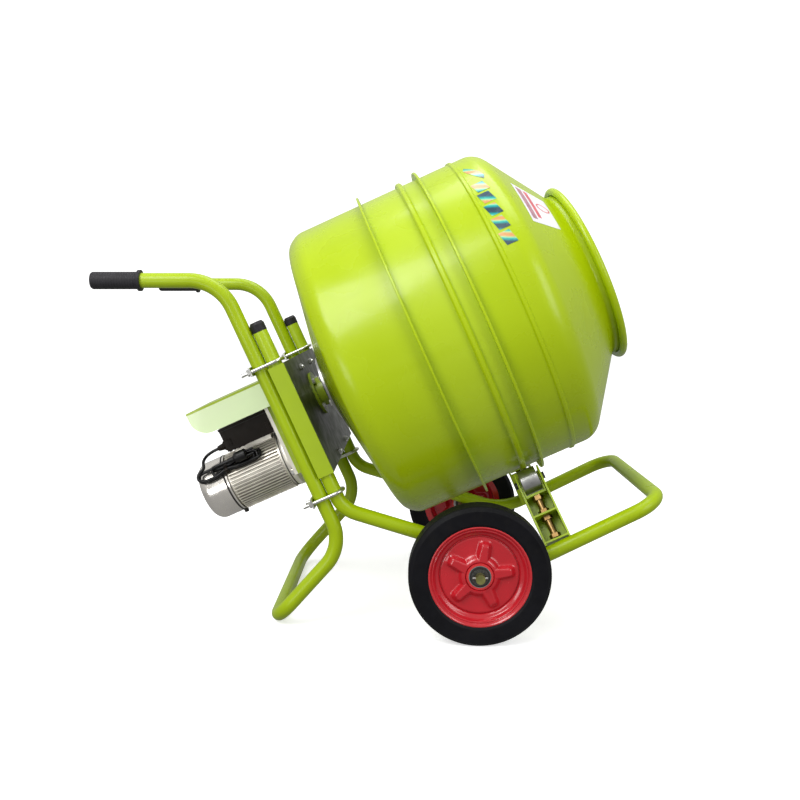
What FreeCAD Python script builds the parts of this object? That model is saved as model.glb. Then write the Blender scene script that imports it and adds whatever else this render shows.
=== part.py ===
"""Portable concrete mixer: a tilted drum on two wheels, driven from behind by a geared motor.

Frame: +X towards the drum's mouth, +Y to the machine's left, +Z up, millimetres.
Origin: on the floor, under the middle of the machine.
Everything that belongs to the drum line (drum, plate, gearbox, motor, hood) is built in a tilted
frame whose local +Z is the drum axis, local +X points down and forward, and local +Y is lateral.
"""
import FreeCAD, Part
import math
import os
import Sketcher

V = FreeCAD.Vector

SIZES = {
    # the drum line's place in the machine
    "drum_x": 87.0,
    "drum_z": 612.0,
    "drum_tilt": 24.2,
    # drum, stations measured along its axis from the rear hoop
    "drum_radius": 364.0,
    "drum_wall": 2.5,
    "back_station": -243.0,
    "back_disc_radius": 95.0,
    "back_edge_station": -191.0,
    "back_edge_radius": 345.0,
    "back_corner_station": -162.0,
    "back_hole_radius": 15.2,
    "seam_station": 142.0,
    "shoulder_station": 284.0,
    "neck_station": 401.0,
    "neck_radius": 200.0,
    "neck_end_station": 424.0,
    "rear_hoop_height": 18.0,
    "rear_hoop_width": 5.0,
    "track_station": 99.0,
    "track_height": 9.0,
    "track_width": 14.0,
    "seam_flange_height": 17.0,
    "seam_flange_width": 6.0,
    "front_bead_station": 224.0,
    "front_bead_height": 3.5,
    "front_bead_width": 12.0,
    "lip_radius": 8.5,
    # mixing blades
    "blade_count": 3.0,
    "blade_depth": 92.0,
    "blade_thickness": 4.0,
    "blade_start": -110.0,
    "blade_end": 250.0,
    # bent tube frames
    "tube_radius": 16.0,
    "tube_bore": 13.5,
    "frame_half_width": 252.0,
    "upright_station": -302.0,
    "upright_top": 184.0,
    "handle_station": -334.6,
    "handle_height": 764.0,
    "handle_end_x": -620.0,
    "grip_length": 106.0,
    "grip_radius": 18.5,
    "rail_low_x": 312.0,
    "rail_low_z": 146.6,
    "front_bar_x": 604.0,
    "front_bar_z": 292.0,
    "stand_x": -242.0,
    # wheels and axle
    "wheel_radius": 150.0,
    "wheel_x": 203.0,
    "wheel_track_half": 328.0,
    "tyre_width": 62.0,
    "rim_radius": 109.0,
    "axle_radius": 12.5,
    "axle_end_radius": 10.0,
    "wheel_bearing_radius": 23.5,
    # mounting plate, stations along the drum axis
    "plate_front": -282.0,
    "plate_thickness": 4.0,
    "plate_top": -104.0,
    "plate_bottom": 155.0,
    # gearbox
    "gear_rear": -400.0,
    "case_wall": 8.0,
    "motor_drop": 117.0,
    "idler_drop": 69.2,
    "shaft_radius": 15.0,
    "bearing_radius": 31.0,
    # motor
    "motor_radius": 66.0,
    "fin_height": 6.0,
    "motor_front": -412.0,
    "motor_rear": -560.0,
    "fan_cover_end": -632.0,
    # running clearance of every turning fit
    "running_gap": 0.05,
}

doc = FreeCAD.newDocument("concrete_mixer")
sheet = doc.addObject("Spreadsheet::Sheet", "Sizes")
for row, (alias, number) in enumerate(SIZES.items(), start=1):
    sheet.set("A%d" % row, alias)
    sheet.set("B%d" % row, str(number))
    sheet.setAlias("B%d" % row, alias)
doc.recompute()


class Size(float):
    """A number that remembers the spreadsheet expression it comes from."""

    def __new__(cls, number, text):
        size = float.__new__(cls, number)
        size.text = text
        return size

    def __add__(self, other):
        return Size(float(self) + float(other), "(%s + %s)" % (self.text, text_of(other)))

    def __radd__(self, other):
        return Size(float(other) + float(self), "(%s + %s)" % (text_of(other), self.text))

    def __sub__(self, other):
        return Size(float(self) - float(other), "(%s - %s)" % (self.text, text_of(other)))

    def __rsub__(self, other):
        return Size(float(other) - float(self), "(%s - %s)" % (text_of(other), self.text))

    def __mul__(self, other):
        return Size(float(self) * float(other), "(%s * %s)" % (self.text, text_of(other)))

    def __rmul__(self, other):
        return Size(float(other) * float(self), "(%s * %s)" % (text_of(other), self.text))

    def __truediv__(self, other):
        return Size(float(self) / float(other), "(%s / %s)" % (self.text, text_of(other)))

    def __neg__(self):
        return Size(-float(self), "(0 - %s)" % self.text)


def text_of(number):
    return number.text if isinstance(number, Size) else repr(float(number))


def size(alias):
    return Size(sheet.get(alias), "Sizes.%s" % alias)


def bind(thing, prop, number):
    """Give a property its value, and its expression when the value comes from the sheet."""
    setattr(thing, prop, float(number))
    if isinstance(number, Size):
        thing.setExpression(prop, number.text)


# ---------------------------------------------------------------- named sizes
drum_x = size("drum_x")
drum_z = size("drum_z")
tilt = math.radians(size("drum_tilt"))
drum_radius = size("drum_radius")
drum_wall = size("drum_wall")
tube_radius = size("tube_radius")
tube_bore = size("tube_bore")
half_width = size("frame_half_width")
gap = size("running_gap")
plate_front = size("plate_front")
plate_rear = plate_front - size("plate_thickness")
gear_rear = size("gear_rear")
wall = size("case_wall")
motor_drop = size("motor_drop")
shaft_radius = size("shaft_radius")
bearing_radius = size("bearing_radius")
wheel_radius = size("wheel_radius")
wheel_x = size("wheel_x")

AXIS = V(math.cos(tilt), 0, math.sin(tilt))
UP = V(-math.sin(tilt), 0, math.cos(tilt))
DRUM_LINE = FreeCAD.Placement(V(drum_x, 0, drum_z), FreeCAD.Rotation(V(0, 1, 0), 90 - size("drum_tilt")))
GROUND = FreeCAD.Placement()
WHEEL_AXIS = FreeCAD.Placement(V(wheel_x, 0, wheel_radius), FreeCAD.Rotation(V(1, 0, 0), -90))

nodes = {}


def on_drum_line(station, height, lateral=0.0):
    """Machine coordinates of a point given by its station along the drum axis and height over it."""
    return V(drum_x, lateral, drum_z) + AXIS * float(station) + UP * float(height)


def keep(label, thing, place=GROUND):
    """Name a finished sub-part, put it in its place and list it for export."""
    thing.Label = label
    thing.Placement = place.multiply(thing.Placement)
    nodes[label] = thing
    return thing


# ---------------------------------------------------------------- building blocks
def new_body(name):
    return doc.addObject("PartDesign::Body", name)


def plane_of(body, role):
    return [item for item in body.Origin.OriginFeatures if item.Role == role][0]


def new_sketch(body, name, role="XY_Plane", offset=0.0):
    sketch = body.newObject("Sketcher::SketchObject", name)
    sketch.AttachmentSupport = [(plane_of(body, role), "")]
    sketch.MapMode = "FlatFace"
    sketch.AttachmentOffset = FreeCAD.Placement(V(0, 0, float(offset)), FreeCAD.Rotation())
    if isinstance(offset, Size):
        sketch.setExpression("AttachmentOffset.Base.z", offset.text)
    return sketch


def fix_point(sketch, geometry, position, x, y):
    """Tie a sketch point to its coordinates, by expression where they come from the sheet."""
    for kind, number, axis in (("DistanceX", x, -2), ("DistanceY", y, -1)):
        if float(number) == 0.0:
            sketch.addConstraint(Sketcher.Constraint("PointOnObject", geometry, position, axis))
            continue
        index = sketch.addConstraint(Sketcher.Constraint(kind, -1, 1, geometry, position, float(number)))
        if isinstance(number, Size):
            sketch.setExpression("Constraints[%d]" % index, number.text)


def draw_outline(sketch, points):
    """A closed outline of straight edges through the given (x, y) points."""
    first = sketch.GeometryCount
    count = len(points)
    for index, (x, y) in enumerate(points):
        next_x, next_y = points[(index + 1) % count]
        sketch.addGeometry(Part.LineSegment(V(x, y, 0), V(next_x, next_y, 0)), False)
    for index, (x, y) in enumerate(points):
        following = first + (index + 1) % count
        sketch.addConstraint(Sketcher.Constraint("Coincident", first + index, 2, following, 1))
        fix_point(sketch, first + index, 1, x, y)


def draw_circle(sketch, x, y, radius):
    index = sketch.addGeometry(Part.Circle(V(x, y, 0), V(0, 0, 1), float(radius)), False)
    fix_point(sketch, index, 3, x, y)
    constraint = sketch.addConstraint(Sketcher.Constraint("Radius", index, float(radius)))
    if isinstance(radius, Size):
        sketch.setExpression("Constraints[%d]" % constraint, radius.text)


def round_circles(body, feature, rounds):
    """Round the circular edges found by their (radius, station), each with its own radius."""
    doc.recompute()
    for number, (edge_radius, station, fillet_radius) in enumerate(rounds):
        names = []
        for index, edge in enumerate(feature.Shape.Edges, start=1):
            curve = edge.Curve
            if not isinstance(curve, Part.Circle):
                continue
            if abs(curve.Radius - edge_radius) < 0.05 and abs(curve.Center.z - station) < 0.05:
                names.append("Edge%d" % index)
        fillet = body.newObject("PartDesign::Fillet", "%s_round%d" % (body.Name, number))
        fillet.Base = (feature, names)
        bind(fillet, "Radius", fillet_radius)
        doc.recompute()
        feature = fillet
    return feature


def turned(label, profile, place=DRUM_LINE, rounds=()):
    """A body of revolution about local Z, from (radius, station) points.

    With place=None it is a piece of a larger sub-part and isn't listed for export.
    """
    body = new_body(label)
    sketch = new_sketch(body, label + "_profile", "XZ_Plane")
    draw_outline(sketch, profile)
    revolution = body.newObject("PartDesign::Revolution", label + "_revolution")
    revolution.Profile = sketch
    revolution.ReferenceAxis = (sketch, ["V_Axis"])
    revolution.Angle = 360.0
    if rounds:
        round_circles(body, revolution, rounds)
    return keep(label, body, place) if place else body


def ring(label, inner, outer, low, high, place=DRUM_LINE, rounds=()):
    return turned(label, [(inner, low), (outer, low), (outer, high), (inner, high)], place, rounds)


def padded(label, outline, low, thickness, place=DRUM_LINE, holes=()):
    """A plate of constant thickness along local Z, with round holes given as (x, y, radius)."""
    body = new_body(label)
    sketch = new_sketch(body, label + "_outline", "XY_Plane", low)
    draw_outline(sketch, outline)
    for x, y, radius in holes:
        draw_circle(sketch, x, y, radius)
    pad = body.newObject("PartDesign::Pad", label + "_pad")
    pad.Profile = sketch
    bind(pad, "Length", thickness)
    return keep(label, body, place) if place else body


def box(name, low, high):
    """A block between two corners."""
    block = doc.addObject("Part::Box", name)
    for prop, start, end in zip(("Length", "Width", "Height"), low, high):
        bind(block, prop, end - start)
    block.Placement.Base = V(*[float(number) for number in low])
    return block


def cylinder(name, radius, height, base=(0, 0, 0), direction=V(0, 0, 1)):
    rod = doc.addObject("Part::Cylinder", name)
    bind(rod, "Radius", radius)
    bind(rod, "Height", height)
    base_point = V(*[float(number) for number in base])
    rod.Placement = FreeCAD.Placement(base_point, FreeCAD.Rotation(V(0, 0, 1), direction))
    return rod


def fused(name, things):
    fusion = doc.addObject("Part::MultiFuse", name)
    fusion.Shapes = things
    return fusion


def grouped(name, things):
    """Separate solids that share a node."""
    group = doc.addObject("Part::Compound", name)
    group.Links = things
    return group


def cut(name, base, tool):
    result = doc.addObject("Part::Cut", name)
    result.Base = base
    result.Tool = tool
    return result


def placed(thing, x, y, turn=0.0):
    """A piece of a sub-part moved to a lateral place, and turned about local Z by some degrees."""
    thing.Placement = FreeCAD.Placement(V(x, y, 0), FreeCAD.Rotation(V(0, 0, 1), turn))
    return thing


def drilled(name, base, spots, radius, low, high):
    """Round holes along local Z through a piece."""
    drills = []
    for number, (x, y) in enumerate(spots, start=1):
        drills.append(cylinder("%s_drill%d" % (name, number), radius, high - low, (x, y, low)))
    return cut(name, base, fused(name + "_drills", drills) if len(drills) > 1 else drills[0])


def circle_of_spots(count, radius, first_angle=0.0):
    """Points evenly spread on a circle."""
    spots = []
    for index in range(count):
        angle = math.radians(first_angle + 360.0 * index / count)
        spots.append((radius * math.cos(angle), radius * math.sin(angle)))
    return spots


def rounded_path(points, radii):
    """Straight runs joined by tangent arcs; radii are those of the inner points."""
    edges = []
    start = points[0]
    for index in range(1, len(points) - 1):
        corner = points[index]
        back = (points[index - 1] - corner).normalize()
        ahead = (points[index + 1] - corner).normalize()
        half_turn = (math.pi - back.getAngle(ahead)) / 2
        tangent = radii[index - 1] * math.tan(half_turn)
        arc_start = corner + back * tangent
        arc_end = corner + ahead * tangent
        bisector = (back + ahead).normalize()
        arc_middle = corner + bisector * (radii[index - 1] / math.cos(half_turn) - radii[index - 1])
        edges.append(Part.LineSegment(start, arc_start).toShape())
        edges.append(Part.Arc(arc_start, arc_middle, arc_end).toShape())
        start = arc_end
    edges.append(Part.LineSegment(start, points[-1]).toShape())
    return Part.Wire(edges)


def swept(name, spine, radius):
    """A round bar that follows a spine."""
    section = doc.addObject("Part::Circle", name + "_section")
    bind(section, "Radius", radius)
    edge = spine.Shape.Edges[0]
    start = edge.valueAt(edge.FirstParameter)
    heading = edge.tangentAt(edge.FirstParameter)
    section.Placement = FreeCAD.Placement(start, FreeCAD.Rotation(V(0, 0, 1), heading))
    sweep = doc.addObject("Part::Sweep", name)
    sweep.Sections = [section]
    sweep.Spine = (spine, ["Edge%d" % (index + 1) for index in range(len(spine.Shape.Edges))])
    sweep.Solid = True
    sweep.Frenet = False
    return sweep


def spine_of(name, wire):
    spine = doc.addObject("Part::Feature", name)
    spine.Shape = wire
    return spine


HEX_RADIUS = 7.5
HEX_HEIGHT = 6.0
BOLT_RADIUS = 4.0
HOLE_RADIUS = 4.1


def hexagonal(name, radius, height, base, direction=V(0, 0, 1), bore=0.0):
    """A hexagonal head or nut."""
    prism = doc.addObject("Part::Prism", name)
    prism.Polygon = 6
    bind(prism, "Circumradius", radius)
    bind(prism, "Height", height)
    base_point = V(*[float(number) for number in base])
    prism.Placement = FreeCAD.Placement(base_point, FreeCAD.Rotation(V(0, 0, 1), direction))
    if not bore:
        return prism
    hole = cylinder(name + "_bore", bore, height + 2.0, base_point - direction, direction)
    return cut(name + "_nut", prism, hole)


def hex_bolts(name, spots, head_low, shank_low, shank_high):
    """Hexagon-headed bolts along local Z at the given (x, y) spots."""
    bolts = []
    for number, (x, y) in enumerate(spots, start=1):
        head = hexagonal("%s_head%d" % (name, number), HEX_RADIUS, HEX_HEIGHT, (x, y, head_low))
        shank = cylinder("%s_shank%d" % (name, number), BOLT_RADIUS, shank_high - shank_low, (x, y, shank_low))
        bolts.append(fused("%s_bolt%d" % (name, number), [head, shank]))
    return bolts


# ---------------------------------------------------------------- bent tube frames
def base_frame():
    """One tube: left upright, rail, front bar, rail, right upright."""
    station = size("upright_station")
    top = on_drum_line(station, size("upright_top"), half_width)
    rear_slope = math.tan(math.radians(-17.0))
    low = V(size("rail_low_x"), half_width, size("rail_low_z"))
    # the rail's rear run leaves the lowest point at 17 degrees and meets the upright's line
    foot_height = (low.z - top.z + rear_slope * (top.x - low.x)) / (UP.z - rear_slope * UP.x)
    foot = top + UP * foot_height
    front = V(size("front_bar_x"), half_width, size("front_bar_z"))
    left = [top, foot, low, front]
    right = [V(point.x, -point.y, point.z) for point in reversed(left)]
    wire = rounded_path(left + right, [70.0, 150.0, 62.0, 62.0, 150.0, 70.0])
    spine = spine_of("base_frame_spine", wire)
    outer = swept("base_frame_outer", spine, tube_radius)
    inner = swept("base_frame_inner", spine, tube_bore)
    keep("base_frame", cut("base_frame_tube", outer, inner))


def handle_frame():
    """One tube: handle, sloping leg beside the upright, floor bar, and the same on the other side."""
    station = size("handle_station")
    line = on_drum_line(station, 0.0, half_width)
    handle_z = size("handle_height")
    bend = line + UP * ((handle_z - line.z) / UP.z)
    handle_end = V(size("handle_end_x") + 4.0, half_width, handle_z)
    floor_corner = V(size("stand_x"), half_width, tube_radius)
    leg_slope = 1.12
    knee_height = (floor_corner.z - line.z + leg_slope * (line.x - floor_corner.x)) / (UP.z - leg_slope * UP.x)
    knee = line + UP * knee_height
    left = [handle_end, bend, knee, floor_corner]
    right = [V(point.x, -point.y, point.z) for point in reversed(left)]
    wire = rounded_path(left + right, [100.0, 90.0, 60.0, 60.0, 90.0, 100.0])
    spine = spine_of("handle_frame_spine", wire)
    outer = swept("handle_frame_outer", spine, tube_radius)
    inner = swept("handle_frame_inner", spine, tube_bore)
    keep("handle_frame", cut("handle_frame_tube", outer, inner))


def grips_and_caps():
    grip_radius = size("grip_radius")
    length = size("grip_length")
    end_x = size("handle_end_x")
    grips, caps = [], []
    for side, sign in (("left", 1), ("right", -1)):
        profile = [(0.0, 0.0), (grip_radius - 2.0, 0.0), (grip_radius, 3.0),
                   (grip_radius, length - 6.0), (grip_radius + 4.0, length - 6.0),
                   (grip_radius + 4.0, length), (tube_radius, length), (tube_radius, 4.0), (0.0, 4.0)]
        grip = turned("grip_" + side, profile, None)
        grip.Placement = FreeCAD.Placement(V(end_x, sign * half_width, size("handle_height")),
                                           FreeCAD.Rotation(V(0, 1, 0), 90))
        grips.append(grip)
        cap = turned("cap_" + side,
                     [(0.0, -22.0), (tube_bore, -22.0), (tube_bore, 0.0), (tube_radius + 0.4, 0.0),
                      (tube_radius + 0.4, 16.0), (tube_radius - 3.0, 22.0), (0.0, 22.0)], None)
        top = on_drum_line(size("upright_station"), size("upright_top"), sign * half_width)
        cap.Placement = FreeCAD.Placement(top, FreeCAD.Rotation(V(0, 0, 1), UP))
        caps.append(cap)
    keep("handle_grips", grouped("grips_group", grips))
    keep("upright_caps", grouped("caps_group", caps))


def u_bolts():
    """Four U-bolts that clamp the two tubes together, with their saddles; returns their nuts."""
    reach = tube_radius + BOLT_RADIUS + 0.6
    bolts, saddles, nuts = [], [], []
    saddle_front = size("handle_station") - tube_radius - 0.05
    saddle_thickness = 4.0
    rear_end = saddle_front - 24.0
    centre = size("upright_station")
    number = 0
    for sign in (1, -1):
        for drop in (-113.0, 199.0):
            number += 1
            lateral = sign * half_width
            path = Part.Wire([
                Part.LineSegment(V(drop, lateral - reach, rear_end), V(drop, lateral - reach, centre)).toShape(),
                Part.Arc(V(drop, lateral - reach, centre), V(drop, lateral, centre + reach),
                         V(drop, lateral + reach, centre)).toShape(),
                Part.LineSegment(V(drop, lateral + reach, centre), V(drop, lateral + reach, rear_end)).toShape(),
            ])
            bolts.append(swept("u_bolt_%d" % number, spine_of("u_bolt_spine_%d" % number, path), BOLT_RADIUS))
            plate = box("u_saddle_block_%d" % number,
                        (drop - 10.0, lateral - reach - 9.0, saddle_front - saddle_thickness),
                        (drop + 10.0, lateral + reach + 9.0, saddle_front))
            spots = [(drop, lateral - reach), (drop, lateral + reach)]
            saddles.append(drilled("u_saddle_%d" % number, plate, spots, HOLE_RADIUS,
                                   saddle_front - 10.0, saddle_front + 10.0))
            for x, y in spots:
                nuts.append(hexagonal("u_nut_%d_%d" % (number, len(nuts)), HEX_RADIUS, HEX_HEIGHT,
                                      (x, y, saddle_front - saddle_thickness - HEX_HEIGHT),
                                      bore=BOLT_RADIUS + 0.02))
    keep("u_bolts", grouped("u_bolts_group", bolts), DRUM_LINE)
    keep("u_bolt_saddles", grouped("u_bolt_saddles_group", saddles), DRUM_LINE)
    return nuts


# ---------------------------------------------------------------- mounting plate and gearbox
CASE_TOP = -84.0
CASE_BOTTOM = 151.0
CASE_LEFT = 118.0
CASE_RIGHT = -84.0
CASE_BOLTS = [(-76.0, -76.0), (-76.0, 110.0), (143.0, -76.0), (143.0, 110.0)]
HOUSING_BOLTS = circle_of_spots(4, 44.0, 45.0)
HOUSING_FLANGE = 6.0
IDLER_LATERAL = 47.6


def mounting_plate():
    """Folded plate across the fronts of the uprights, its edges lapping over their outer sides."""
    top = size("plate_top")
    bottom = size("plate_bottom")
    outer = half_width + tube_radius + size("plate_thickness") + 0.1
    inner = half_width + tube_radius + 0.1
    lap = 32.0
    web = box("plate_web", (top, -outer, plate_rear + 0.1), (bottom, outer, plate_front))
    sides = []
    for number, (low, high) in enumerate(((inner, outer), (-outer, -inner))):
        sides.append(box("plate_side%d" % number, (top, low, plate_rear - lap), (bottom, high, plate_front)))
    bored = drilled("plate_bored", fused("plate_blank", [web] + sides), [(0.0, 0.0)], shaft_radius + 4.0,
                    plate_rear - 5.0, plate_front + 5.0)
    plate = drilled("plate_drilled", bored, CASE_BOLTS + HOUSING_BOLTS, HOLE_RADIUS,
                    plate_rear - 5.0, plate_front + 5.0)
    keep("mounting_plate", plate, DRUM_LINE)


def gearbox():
    """Cast case behind the plate, with a cover that carries the motor; returns its front nuts."""
    outline = [(CASE_TOP, CASE_RIGHT), (CASE_BOTTOM, CASE_RIGHT), (CASE_BOTTOM, CASE_LEFT), (CASE_TOP, CASE_LEFT)]
    inside = [(CASE_TOP + wall, CASE_RIGHT + wall), (CASE_BOTTOM - wall, CASE_RIGHT + wall),
              (CASE_BOTTOM - wall, CASE_LEFT - wall), (CASE_TOP + wall, CASE_LEFT - wall)]
    cover_front = gear_rear + wall
    body = new_body("gearbox_housing")
    sketch = new_sketch(body, "case_outline", "XY_Plane", cover_front)
    draw_outline(sketch, outline)
    pad = body.newObject("PartDesign::Pad", "case_pad")
    pad.Profile = sketch
    bind(pad, "Length", plate_rear - cover_front)
    cavity = new_sketch(body, "case_cavity_outline", "XY_Plane", cover_front)
    draw_outline(cavity, inside)
    pocket = body.newObject("PartDesign::Pocket", "case_cavity")
    pocket.Profile = cavity
    pocket.Reversed = True
    bind(pocket, "Length", plate_rear - cover_front - wall)
    bores = new_sketch(body, "case_bores_outline", "XY_Plane", cover_front)
    draw_circle(bores, 0.0, 0.0, shaft_radius + 4.0)
    draw_circle(bores, size("idler_drop"), IDLER_LATERAL, 15.0)
    for x, y in CASE_BOLTS + HOUSING_BOLTS:
        draw_circle(bores, x, y, HOLE_RADIUS)
    bore_pocket = body.newObject("PartDesign::Pocket", "case_bores")
    bore_pocket.Profile = bores
    bore_pocket.Reversed = True
    bore_pocket.Type = 1
    keep("gearbox_housing", body, DRUM_LINE)

    plate = padded("cover_plate", outline, gear_rear, wall, None,
                   [(motor_drop, 0.0, 12.0)] + [(x, y, HOLE_RADIUS) for x, y in CASE_BOLTS])
    boss = ring("cover_boss", bearing_radius, bearing_radius + 7.0, cover_front, cover_front + 18.0, None)
    seat = ring("cover_idler_seat", 15.0, 21.0, cover_front, cover_front + 8.0, None)
    cover = fused("cover_fusion", [plate, boss, placed(seat, size("idler_drop"), IDLER_LATERAL)])
    keep("gearbox_cover", cover, DRUM_LINE)
    bolts = hex_bolts("case", CASE_BOLTS, gear_rear - HEX_HEIGHT, gear_rear, plate_front + 9.0)
    keep("gearbox_bolts", grouped("gearbox_bolts_group", bolts), DRUM_LINE)
    return [hexagonal("case_nut%d" % number, HEX_RADIUS, HEX_HEIGHT, (x, y, plate_front), bore=BOLT_RADIUS + 0.02)
            for number, (x, y) in enumerate(CASE_BOLTS)]


def bearing_housing():
    """Round flanged housing on the front of the plate, with the shaft's bearings; returns its bolts."""
    face = plate_front
    housing = turned("bearing_housing_casting",
                     [(bearing_radius, face), (54.0, face), (54.0, face + HOUSING_FLANGE),
                      (36.0, face + HOUSING_FLANGE), (36.0, face + 24.0), (20.0, face + 24.0),
                      (20.0, face + 20.0), (bearing_radius, face + 20.0)], None)
    keep("bearing_housing", drilled("bearing_housing_drilled", housing, HOUSING_BOLTS, HOLE_RADIUS,
                                    face - 5.0, face + 15.0), DRUM_LINE)
    rear = gear_rear + wall
    bearings = [ring("front_shaft_bearing", shaft_radius + gap, bearing_radius, face + 3.0, face + 19.0, None),
                ring("rear_shaft_bearing", shaft_radius + gap, bearing_radius, rear + 1.0, rear + 17.0, None)]
    keep("shaft_bearings", grouped("shaft_bearings_group", bearings), DRUM_LINE)
    return hex_bolts("housing", HOUSING_BOLTS, face + HOUSING_FLANGE, plate_rear - wall, face + HOUSING_FLANGE)


# ---------------------------------------------------------------- gears
def involute(angle):
    return math.tan(angle) - angle


def gear_outline(module, teeth, addendum, dedendum, phase, centre):
    """Outline wire of a spur gear round a centre; its first tooth is centred at the phase angle."""
    pressure = math.radians(20)
    backlash = 0.12
    pitch_radius = module * teeth / 2
    base_radius = pitch_radius * math.cos(pressure)
    tip_radius = pitch_radius + addendum * module
    root_radius = pitch_radius - dedendum * module
    start_radius = max(base_radius, root_radius + 0.05)
    half_pitch_angle = math.pi / (2 * teeth) - backlash / (2 * pitch_radius)
    edges = []

    def at(radius, angle):
        return centre + V(radius * math.cos(angle), radius * math.sin(angle), 0)

    def half_angle(radius):
        flank = math.acos(min(1.0, base_radius / radius))
        return half_pitch_angle + involute(pressure) - involute(flank)

    flank_radii = [start_radius + (tip_radius - start_radius) * step / 4 for step in range(5)]
    for tooth in range(teeth):
        middle = phase + 2 * math.pi * tooth / teeth
        following = middle + 2 * math.pi / teeth
        rising = [at(radius, middle - half_angle(radius)) for radius in flank_radii]
        falling = [at(radius, middle + half_angle(radius)) for radius in reversed(flank_radii)]
        foot_in = at(root_radius, middle - half_angle(start_radius))
        foot_out = at(root_radius, middle + half_angle(start_radius))
        next_foot = at(root_radius, following - half_angle(start_radius))
        edges.append(Part.LineSegment(foot_in, rising[0]).toShape())
        curve = Part.BSplineCurve()
        curve.interpolate(rising)
        edges.append(curve.toShape())
        edges.append(Part.Arc(rising[-1], at(tip_radius, middle), falling[0]).toShape())
        curve = Part.BSplineCurve()
        curve.interpolate(falling)
        edges.append(curve.toShape())
        edges.append(Part.LineSegment(falling[-1], foot_out).toShape())
        valley = at(root_radius, (middle + following) / 2)
        edges.append(Part.Arc(foot_out, valley, next_foot).toShape())
    return Part.Wire(edges)


def gear(name, module, teeth, addendum, dedendum, phase, centre, width, bore=0.0):
    """A spur gear that stands on its centre point and extends along local Z."""
    blank = Part.Face(gear_outline(module, teeth, addendum, dedendum, phase, centre)).extrude(V(0, 0, width))
    if bore:
        blank = blank.cut(Part.makeCylinder(bore, width + 2, centre - V(0, 0, 1)))
    feature = doc.addObject("Part::Feature", name + "_shape")
    feature.Shape = blank
    return feature


FIRST_MODULE = 1.5
FIRST_PINION_TEETH = 12
FIRST_WHEEL_TEETH = 78
SECOND_MODULE = 2.0
SECOND_PINION_TEETH = 12
SECOND_WHEEL_TEETH = 72


def gear_train():
    """Motor pinion to idler wheel, idler pinion to output wheel, all in mesh at rest."""
    idler = V(size("idler_drop"), IDLER_LATERAL, 0)
    motor = V(motor_drop, 0, 0)
    to_idler_from_motor = math.atan2(idler.y - motor.y, idler.x - motor.x)
    to_output_from_idler = math.atan2(-idler.y, -idler.x)
    wheel_phase = to_idler_from_motor + math.pi + math.pi / FIRST_WHEEL_TEETH
    output_phase = to_output_from_idler + math.pi + math.pi / SECOND_WHEEL_TEETH
    motor_pinion = gear("motor_pinion", FIRST_MODULE, FIRST_PINION_TEETH, 1.0, 1.15, to_idler_from_motor,
                        motor + V(0, 0, -362.0), 16.0)
    wheel = gear("idler_wheel", FIRST_MODULE, FIRST_WHEEL_TEETH, 0.7, 1.25, wheel_phase,
                 idler + V(0, 0, -360.0), 12.0, 8.0)
    keep("idler_wheel", wheel, DRUM_LINE)
    idler_pinion = gear("idler_pinion", SECOND_MODULE, SECOND_PINION_TEETH, 1.0, 1.15, to_output_from_idler,
                        idler + V(0, 0, -334.0), 26.0)
    output = gear("output_gear", SECOND_MODULE, SECOND_WHEEL_TEETH, 0.7, 1.25, output_phase,
                  V(0, 0, -331.0), 20.0, shaft_radius)
    keep("output_gear", output, DRUM_LINE)

    idler_rod = cylinder("idler_rod", 8.0, 105.0, (idler.x, idler.y, gear_rear + wall + 0.5))
    keep("idler_shaft", fused("idler_shaft_fusion", [idler_rod, idler_pinion]), DRUM_LINE)
    seats = (("front", plate_rear - 8.0, plate_rear - 0.1), ("rear", gear_rear + wall, gear_rear + wall + 8.0))
    bushes = [placed(ring("idler_bush_" + end, 8.0 + gap, 15.0, low, high, None), idler.x, idler.y)
              for end, low, high in seats]
    keep("idler_bearings", grouped("idler_bearings_group", bushes), DRUM_LINE)

    motor_rod = cylinder("motor_rod", 9.0, 246.0, (motor.x, motor.y, -608.0))
    nose = cylinder("motor_rod_nose", 6.0, 12.0, (motor.x, motor.y, -348.0))
    core = cylinder("rotor_core", 36.5, 78.0, (motor.x, motor.y, -525.0))
    keep("motor_rotor", fused("motor_rotor_fusion", [motor_rod, nose, motor_pinion, core]), DRUM_LINE)


# ---------------------------------------------------------------- motor
MOTOR_LINE = FreeCAD.Placement(DRUM_LINE.multVec(V(motor_drop, 0, 0)), DRUM_LINE.Rotation)
FIN_COUNT = 54


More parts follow.
